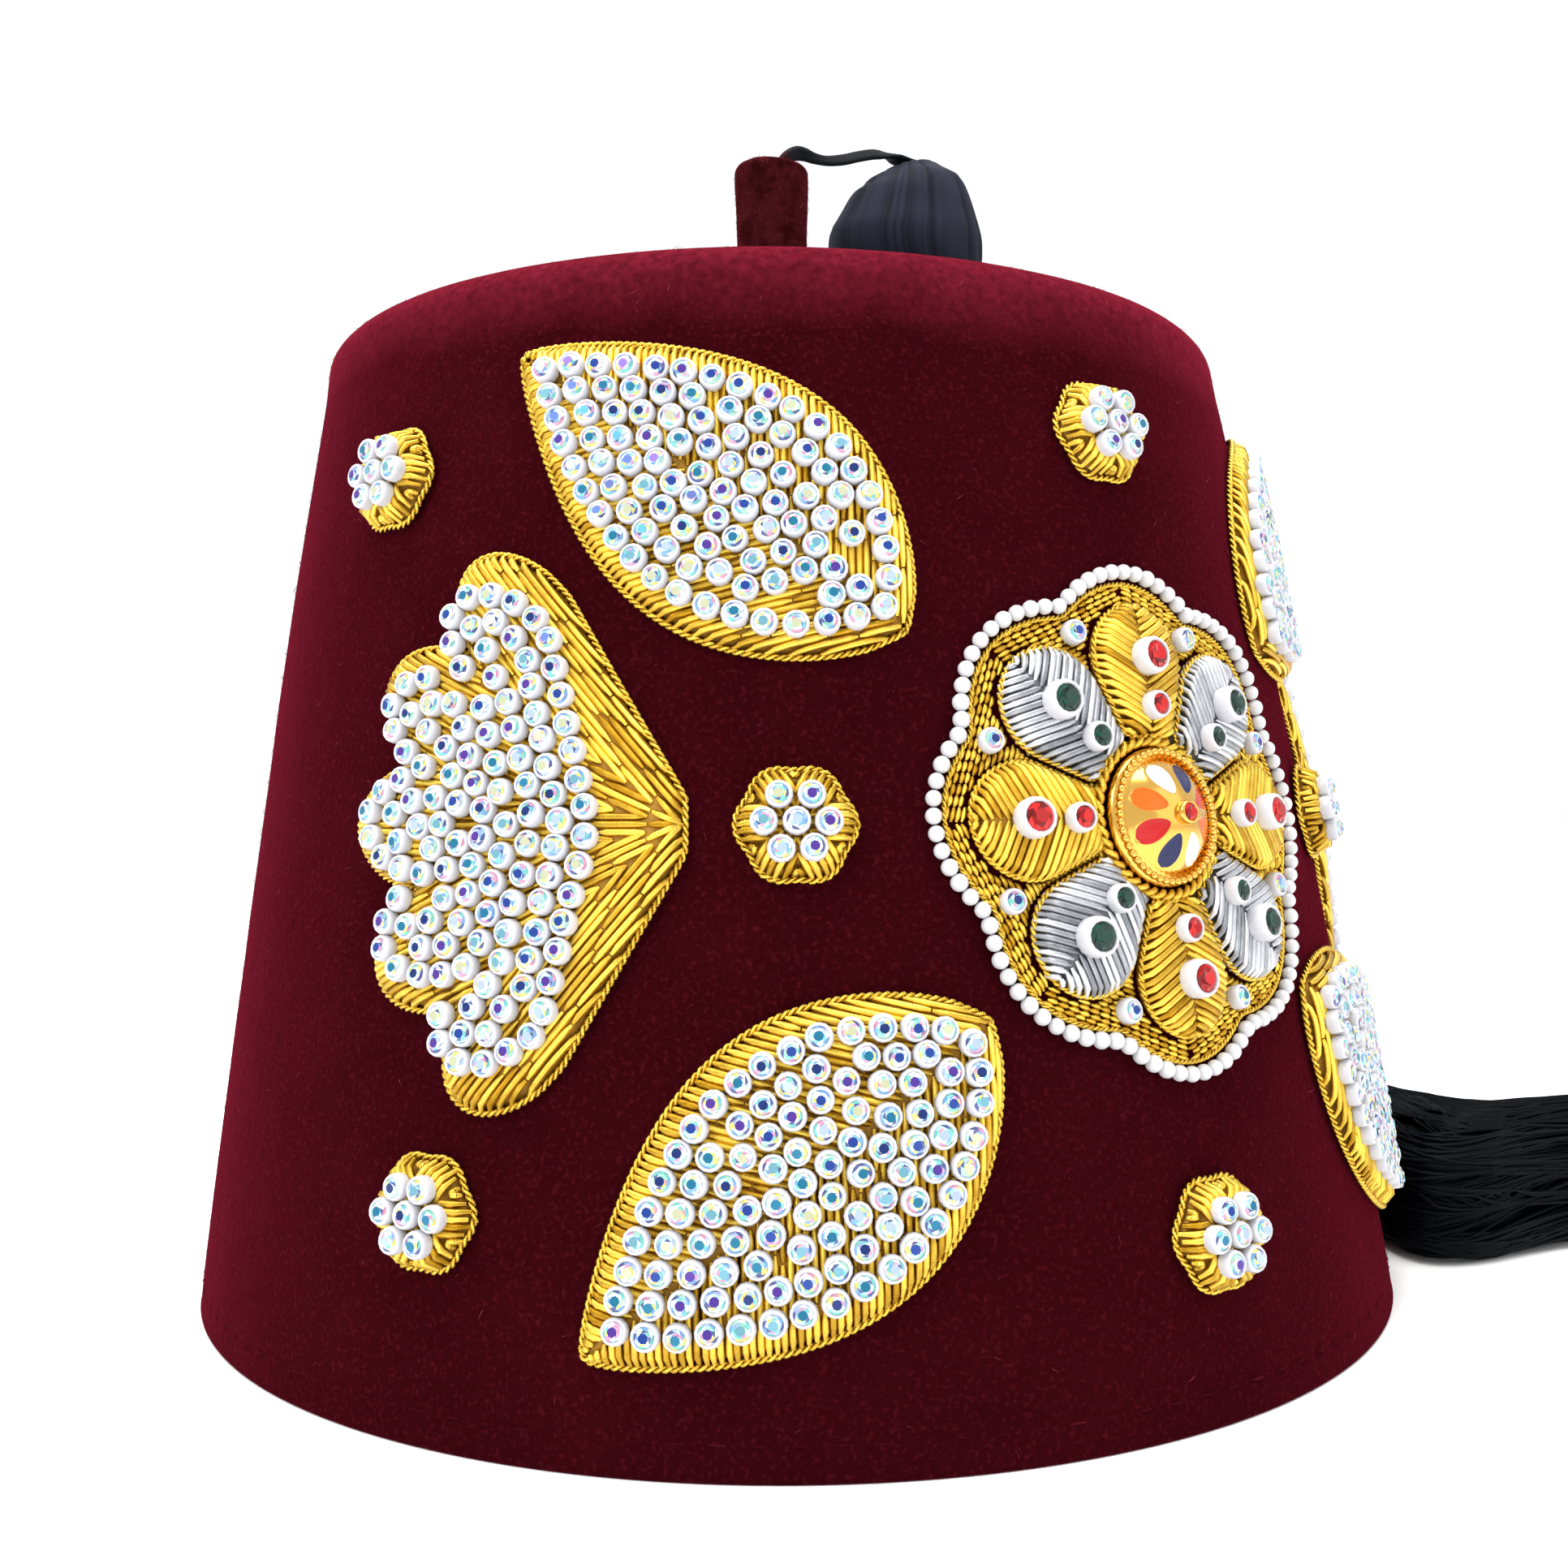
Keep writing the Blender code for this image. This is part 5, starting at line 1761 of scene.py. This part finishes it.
@dataclass
class Tassel:
    """Silk gathered at a knot, over the hat's edge, down its far side and out along the floor."""

    turn: float = radians(-34)
    fall: float = radians(33)
    # along, back, up, half width, half depth, stand (0 lies on the hat, 1 stands on edge) and, where
    # it stands, its heading from the way along in degrees; the lengths are in mm
    rows: tuple[tuple[float, ...], ...] = (
        (22.6, 19.9, 188.2, 1.2, 1.1, 0, 0),
        (22.6, 20.0, 187.9, 3.9, 3.7, 0, 0),
        (22.7, 20.0, 187.2, 6.4, 6.0, 0, 0),
        (22.8, 20.1, 185.7, 9.0, 8.4, 0, 0),
        (22.9, 20.2, 183.2, 11.1, 10.4, 0, 0),
        (22.6, 20.3, 179.6, 13.0, 12.2, 0, 0),
        (22.0, 20.6, 175.0, 15.2, 13.9, 0, 0),
        (21.0, 21.0, 170.0, 16.3, 14.8, 0, 0),
        (21.9, 22.2, 164.8, 16.0, 13.4, 0, 0),
        (28.6, 24.8, 159.5, 14.0, 10.6, 0, 0),
        (38.0, 30.0, 155.4, 13.4, 8.0, 0, 0),
        (52.0, 37.0, 154.0, 13.2, 6.9, 0, 0),
        (61.4, 42.6, 149.0, 13.0, 6.8, 0, 0),
        (65.6, 45.6, 139.0, 12.8, 6.9, 0, 0),
        (70.0, 47.9, 110.0, 12.6, 7.4, 0, 0),
        (76.4, 51.3, 74.0, 12.4, 7.8, 0, 0),
        (81.8, 54.0, 43.0, 12.2, 8.2, 0.1, -60),
        (88.2, 53.2, 22.0, 11.8, 8.8, 0.45, -75),
        (97.2, 40.6, 12.0, 10.8, 9.6, 0.85, -80),
        (105.0, 28.0, 10.3, 10.0, 10.3, 1, -79),
        (106.2, 17.0, 10.5, 10.3, 11.8, 1, -65),
        (107.4, 8.8, 10.8, 10.6, 14.4, 1, -52),
        (108.6, 2.8, 10.9, 10.7, 17.3, 1, -45),
        (110.9, -1.2, 11.0, 10.8, 19.4, 1, -39),
        (114.6, -2.2, 11.0, 10.8, 19.4, 1, -35),
        (119.2, -1.3, 11.1, 10.9, 17.7, 1, -31),
        (125.1, 0.7, 11.2, 11.0, 15.2, 1, -28),
        (134.8, 3.8, 11.3, 11.1, 12.7, 1, -22),
        (152.0, 8.4, 11.4, 11.1, 10.8, 1, 0),
    )
    sides: int = 108
    pleats: int = 15
    pleat_depth: float = 0.085  # of the head's radius
    locks: int = 90
    strands: int = 710
    strand_radius: float = 0.335 * MM
    straight: tuple[int, ...] = (25, 27, 29, 31)  # a strand's points that it can do without
    boxed: float = 0.28  # how round the bundle's underside is, below 1 the flatter it lies
    # along, back and up in mm, from the stem's top to the knot
    cord_rows: tuple[tuple[float, ...], ...] = (
        (-1.0, 0.1, 180.4), (0.3, 1.0, 182.7), (1.9, 2.4, 184.2), (3.5, 4.0, 184.7),
        (5.3, 5.8, 184.7), (7.6, 8.0, 185.1), (10.4, 10.4, 186.2), (13.2, 12.6, 187.6),
        (15.9, 14.5, 188.7), (18.4, 16.0, 189.1), (21.2, 17.6, 188.6), (24.2, 18.9, 188.1),
        (26.6, 19.8, 187.5), (27.6, 20.2, 186.8),
    )

    def laid(self, table: Array) -> Array:
        """Rows that start with along, back and up in mm, as points of the frame."""
        x = table[:, 0] * cos(self.turn) - table[:, 1] * sin(self.turn)
        y = table[:, 0] * sin(self.turn) + table[:, 1] * cos(self.turn)
        return np.stack([x + HAT.axis[0] / MM, y + HAT.axis[1] / MM, table[:, 2]], -1) * MM

    def sections(self, steps: int) -> tuple[Array, Array, Array]:
        """The tassel's middles with each section's wide and deep half axes."""
        table = catmull(self.rows, steps)
        places = self.laid(table)
        last = len(places) - 1
        way = self.turn + self.fall
        flat = np.array([-sin(way), cos(way), 0])
        wides, deeps = [], []
        for i, (*_, half_width, half_depth, stand, heading) in enumerate(table):
            ahead = places[min(i + 1, last)] - places[max(i - 1, 0)]
            bearing = self.turn + radians(heading)
            level = np.array([cos(bearing), sin(bearing), 0])
            ahead = ahead / norm(ahead) * (1 - stand) + level * stand
            ahead /= norm(ahead)
            wide = flat * (1 - stand) + np.array([0, 0, -stand])
            wide -= ahead * wide.dot(ahead)
            wide /= norm(wide)
            wides.append(wide * half_width * MM)
            deeps.append(np.cross(ahead, wide) * half_depth * MM)
        return places, np.array(wides), np.array(deeps)

    @staticmethod
    def eased(lines: Array, steps: int) -> Array:
        """Ease lines that run down the tassel where its head bends over into the bundle.

        Args:
            lines: points, as rows down the tassel by lines side by side.
            steps: how many rows there are to each row of the tassel's own.

        Returns:
            The eased lines.
        """
        weight = 0.5 * np.exp(-(((np.arange(len(lines)) / steps - 8.5) / 1.9) ** 4))[:, None, None]
        for _ in range(round(2.2 * steps**2)):
            middle = 0.5 * (np.roll(lines, 1, axis=0) + np.roll(lines, -1, axis=0))
            lines = lines + weight * (middle - lines)
        return lines

    def pleat(self, swing: Array, share: Array) -> Array:
        """How far the gathers draw in, by the turn round the head and the way down it."""
        random = np.random.default_rng(21)
        middles = 2 * pi * (np.arange(self.pleats) + random.uniform(-0.32, 0.32, self.pleats)) / self.pleats
        widths = random.uniform(0.045, 0.115, self.pleats)
        deep = random.uniform(0.4, 1.0, self.pleats)
        total = np.zeros(np.broadcast(swing, share).shape)
        for k in range(self.pleats):
            away = apart(swing - middles[k], 0.16 * np.sin(7 * share + k) * share)
            total = total + deep[k] * np.exp(-((away / widths[k]) ** 2))
        return total * np.exp(-((share / 0.36) ** 3))

    def core(self) -> Piece:
        """The gathered head and the dense middle of the bundle under the strands."""
        places, wides, deeps = self.sections(5)
        share = np.linspace(0, 1, len(places))[:, None]
        swing = turns(self.sides)[None]
        drawn = 1 - self.pleat_depth * self.pleat(swing, share)
        inner = 0.985 - 0.035 * np.clip((share - 0.22) / 0.2, 0, 1)
        inner -= 0.5 * np.clip((share - 0.9) / 0.06, 0, 1)
        around = wides[:, None] * np.cos(swing)[..., None] + deeps[:, None] * np.sin(swing)[..., None]
        rings = places[:, None] + (drawn * inner)[..., None] * around
        kept = round(0.965 * len(rings))
        rings, share = self.eased(rings, 5)[:kept], share[:kept]
        # the pleats' valleys are painted darker: painted shade in the folds
        shades = np.clip(0.82 - 0.75 * self.pleat(swing, share), 0, 1)
        mesh = loft("tassel_core", rings, np.append(shades, [0.3, 0.3]))
        below = [min(face.vertices) // self.sides > 0.31 * len(places) for face in mesh.polygons]
        core = dressed("tassel_core", mesh, HEAD_SILK, CORE_SILK)
        mesh.polygons.foreach_set("material_index", np.array(below, dtype=np.int32))
        return settle(core, ["tassel"])

    def strand_paths(self) -> tuple[list[Array], list[Array]]:
        """Strands in locks that lie along the head and cross each other further down."""
        random = np.random.default_rng(33)
        places, wides, deeps = self.sections(2)
        share = np.linspace(0, 1, len(places))
        loose = np.clip((share - 0.28) / 0.45, 0, 1)
        closing = np.clip((share - 0.89) / 0.11, 0, 1) ** 1.5
        full = 1 - 0.3 * loose
        under = 1 - (1 - self.boxed) * catmull(self.rows, 2)[:, 5]
        swings = np.linspace(0, 2 * pi, 721)
        bends = np.where(np.cos(swings) > 0, self.boxed, 0.7)
        halves_at = (np.cos(swings), 1.4 * np.sin(swings))
        run = run_of(np.stack([np.sign(v) * np.abs(v) ** bends for v in halves_at], -1))
        paths, swells = [], []
        waves = random.uniform(0, 1, (self.locks, 4))
        for _ in range(self.strands):
            lock = int(random.integers(self.locks))
            wave = waves[lock]
            sway = (0.08 + 0.22 * wave[0]) * np.sin(2 * pi * (2.0 + 2.2 * wave[1]) * share + 2 * pi * wave[2])
            own = 0.06 * np.sin(2 * pi * random.uniform(2, 5) * share + random.uniform(0, 2 * pi))
            place = (lock + random.uniform(-0.9, 0.9)) / self.locks + loose * (sway + own) / (2 * pi)
            swing = np.interp(place % 1 * run[-1], run, swings)
            first = int(random.integers(13, 19))
            hidden = 1 - np.clip((np.arange(len(places)) - first) / 4, 0, 1)
            drawn = 1 - self.pleat_depth * self.pleat(swing, share)
            lift = 0.985 + loose * (random.uniform(-0.03, 0.012) + 0.01 * np.sin(9 * share + 6 * wave[3]))
            lift = (lift - 0.085 * hidden) * (1 - closing * (1 - sqrt(random.uniform(0, 1))))
            bend = np.where(np.cos(swing) > 0, np.minimum(full, under), full)
            across, through = (np.sign(v) * np.abs(v) ** bend for v in (np.cos(swing), np.sin(swing)))
            path = places + (drawn * lift)[:, None] * (wides * across[:, None] + deeps * through[:, None])
            path = self.eased(path[:, None], 2)[:, 0]
            path = path[[i for i in range(first, len(path)) if i not in self.straight]]
            paths.append(path)
            swell = np.ones(len(path))
            swell[-1] = 0.5
            swells.append(swell * random.uniform(0.7, 1.15))
        return paths, swells

    def strand_piece(self) -> Piece:
        """The silk strands round the core."""
        paths, swells = self.strand_paths()
        ends = np.random.default_rng(34).uniform(-2.4, 0.6, len(paths)) * MM
        for path, shift in zip(paths, ends, strict=True):
            tip = path[-1] - path[-2]
            path[-1] += tip / norm(tip) * shift
            path[:, 2] = np.maximum(path[:, 2], 1.1 * self.strand_radius)
        laid = [np.ones(len(path)) for path in paths]
        mesh = path_mesh("tassel_strands", paths, False, laid=laid, swell=swells)
        settings = {"rod_radius": self.strand_radius, "sides": 3, "seed": 9}
        made = SHOP.rods.grow("tassel_strands", mesh, finish=SILK, core_finish=SILK, **settings)
        return settle(made)

    def cord(self) -> Piece:
        """The flat silk cord from the stem to the knot, turning over once on its way."""
        path = self.laid(catmull(self.cord_rows, 12))
        last = len(path) - 1
        share = np.linspace(0, 1, last + 1)
        twist = radians(70) + radians(55) * np.clip((share - 0.2) / 0.3, 0, 1)
        twist += radians(50) * np.clip((share - 0.62) / 0.12, 0, 1)
        half = (1.2 - 0.28 * np.exp(-(((share - 0.36) / 0.1) ** 2))) * MM
        half += 1.3 * MM * np.clip((share - 0.62) / 0.14, 0, 1) * (1 - share**8)
        swing = turns(20)
        groove = 1 - 0.22 * np.abs(np.sin(swing)) ** 6
        rings = []
        for i in range(last + 1):
            ahead = path[min(i + 1, last)] - path[max(i - 1, 0)]
            ahead /= norm(ahead)
            side = np.cross(ahead, (0, 0, 1))
            side /= norm(side)
            wide = side * cos(twist[i]) + np.cross(side, ahead) * sin(twist[i])
            across = np.outer(np.cos(swing) * half[i], wide)
            through = np.outer(np.sin(swing) * groove * 0.62 * MM, np.cross(ahead, wide))
            rings.append(path[i] + across + through)
        shades = np.repeat(0.5 + 2.2 * np.exp(-((share / 0.13) ** 2)), len(swing))
        mesh = loft("silk_cord", np.array(rings), np.append(shades, [2.7, 0.5]))
        return settle(dressed("silk_cord", mesh, CORD_SILK), ["tassel_cord"])

    def build(self) -> list[Piece]:
        """The core, its strands and the cord."""
        return [self.core(), self.strand_piece(), self.cord()]


# ---------------- layout


@dataclass
class Ornament:
    """The flower at the front with its leaves, fans and florets."""

    leaf_reach: float = 67.5 * MM
    leaf_rise: float = radians(38)
    fan_base: float = 60.5 * MM
    floret_spots: tuple[tuple[str, float, float], ...] = (  # across and up in mm
        ("top", 0, 50.5),
        ("bottom", 0, -50.5),
        ("inner_right", -47.5, 0),
        ("inner_left", 47.5, 0),
        ("upper_right", -98, 46),
        ("upper_left", 98, 46),
        ("lower_right", -98, -46),
        ("lower_left", 98, -46),
    )

    @staticmethod
    def fielded(kind: type[Motif], what: str, where: str, spot: Spot, seed: int) -> Motif:
        """A motif that stands for the pad and the field of its kind and place."""
        return kind(f"{what}_{where}", spot, [f"{what}_pad_{where}"], [f"{what}_field_{where}"], seed=seed)

    def motifs(self) -> list[Motif]:
        """Every padded motif in its place."""
        made: list[Motif] = []
        for side_name, side in (("right", -1), ("left", 1)):
            for level, rise in (("upper", 1), ("lower", -1)):
                across = side * self.leaf_reach * cos(self.leaf_rise)
                up = rise * self.leaf_reach * sin(self.leaf_rise)
                spot = Spot(across, up, -side * (pi / 2 - rise * self.leaf_rise))
                made.append(self.fielded(Leaf, "leaf", f"{level}_{side_name}", spot, 10 + len(made)))
            spot = Spot(side * self.fan_base, 0, -side * pi / 2)
            made.append(self.fielded(Fan, "fan", side_name, spot, 20 + len(made)))
        for i in range(PETALS):
            metal, stone = ((Metal.GOLD, RUBY), (Metal.SILVER, EMERALD))[i % 2]
            name, spot = f"petal_{i + 1}", Spot(turn=-2 * pi * i / PETALS)
            stones = [f"petal_stone_{i + 1}_{size}" for size in ("large", "small")]
            made.append(Petal(name, spot, [name], stones, metal, stone, seed=40 + i))
        for i, (place, across, up) in enumerate(self.floret_spots):
            name = f"floret_{place}"
            made.append(Floret(name, Spot(across * MM, up * MM), [name], seed=60 + i))
        return [*made, FlowerGround("flower_ground", seed=90)]

    def build(self) -> list[Piece]:
        """Every piece of every motif, then the boss and the pearls."""
        return [piece for part in (*self.motifs(), Boss(), PearlEdging()) for piece in part.build()]


# ---------------- studio


@dataclass
class Studio:
    """A pale floor, soft light and the camera at the photograph's angle."""

    azimuth: float = radians(-34)
    distance: float = 268.2 * MM
    height: float = 76.5 * MM
    lens: float = 36.56  # in mm, for a 36 mm sensor
    yaw: float = -0.004
    pitch: float = 0.002
    roll: float = -0.011
    aim: float = 0.08  # the height that the lamps look at

    @staticmethod
    def swung(first: Vector, second: Vector, turn: float) -> tuple[Vector, Vector]:
        """Two square directions, turned together from the first towards the second."""
        return first * cos(turn) + second * sin(turn), second * cos(turn) - first * sin(turn)

    def camera(self) -> None:
        """Stand the camera where the photograph was taken from."""
        toward = Vector((-sin(self.azimuth), cos(self.azimuth), 0))
        ahead, right = self.swung(toward, Vector((cos(self.azimuth), sin(self.azimuth), 0)), self.yaw)
        ahead, up = self.swung(ahead, Vector((0, 0, 1)), self.pitch)
        right, up = self.swung(right, up, self.roll)
        lens = bpy.data.cameras.new("camera")
        lens.lens = self.lens
        lens.sensor_width = 36.0
        lens.clip_start = 0.01
        made = link_object("camera", lens)
        place = Vector((*HAT.axis, self.height)) - toward * self.distance
        made.matrix_world = Matrix.Translation(place) @ Matrix((right, up, -ahead)).transposed().to_4x4()
        bpy.context.scene.camera = made

    def lamp(self, name: str, turn: float, reach: float, height: float, size: float, power: float) -> None:
        """A soft square lamp that looks at the hat.

        Args:
            name: its name.
            turn: its bearing from the camera's, in degrees.
            reach: its distance along the floor.
            height: its height.
            size: its side.
            power: its power in watts.
        """
        light = bpy.data.lights.new(name, "AREA")
        light.shape = "SQUARE"
        light.size = size
        light.energy = power
        angle = self.azimuth + radians(turn)
        place = Vector((HAT.axis[0] + reach * sin(angle), HAT.axis[1] - reach * cos(angle), height))
        turned = (Vector((*HAT.axis, self.aim)) - place).to_track_quat("-Z", "Y").to_matrix().to_4x4()
        link_object(name, light).matrix_world = Matrix.Translation(place) @ turned

    def lights(self) -> None:
        """A broad lamp overhead, a key from the camera's left and a fill from its right."""
        self.lamp("overhead", 0, 0.05, 0.85, 0.6, 8.5)
        self.lamp("key", -40, 0.60, 0.55, 0.35, 2.6)
        self.lamp("fill", 55, 0.7, 0.35, 0.6, 0.8)
        world = bpy.data.worlds.new("studio")
        world.use_nodes = True
        shade = world.node_tree.nodes["Background"]
        shade.inputs["Color"].default_value = rgb(0.995, 0.997, 1.0)
        shade.inputs["Strength"].default_value = 1.025
        bpy.context.scene.world = world
        bpy.context.scene.view_settings.view_transform = "Standard"

    def floor(self) -> None:
        """A plain pale floor under the hat."""
        half = 4.0
        corners = [(-half, -half, 0), (half, -half, 0), (half, half, 0), (-half, half, 0)]
        mesh = plain_mesh("floor", corners, (), [(0, 1, 2, 3)])
        tree = Shader("pale floor")
        tone = tree.mix(tree.noise(9, 2), rgb(0.970, 0.970, 0.972), rgb(0.982, 0.982, 0.984))
        tree.set(base_color=tone, roughness=0.75)
        mesh.materials.append(tree.material)
        link_object("floor", mesh)

    def build(self) -> None:
        """Camera, lamps and floor."""
        self.camera()
        self.lights()
        self.floor()


def main() -> None:
    """Set up the studio, then build the hat from the felt outwards."""
    logging.basicConfig(level=logging.INFO, format="%(name)s: %(message)s")
    Studio().build()
    cup_shapes()
    for assembly in (FeltBody(), Stem(), Ornament(), Tassel()):
        pieces = assembly.build()
        log.info("%s: %d pieces", type(assembly).__name__, len(pieces))
    SHOP.clear()


if __name__ == "__main__":
    main()
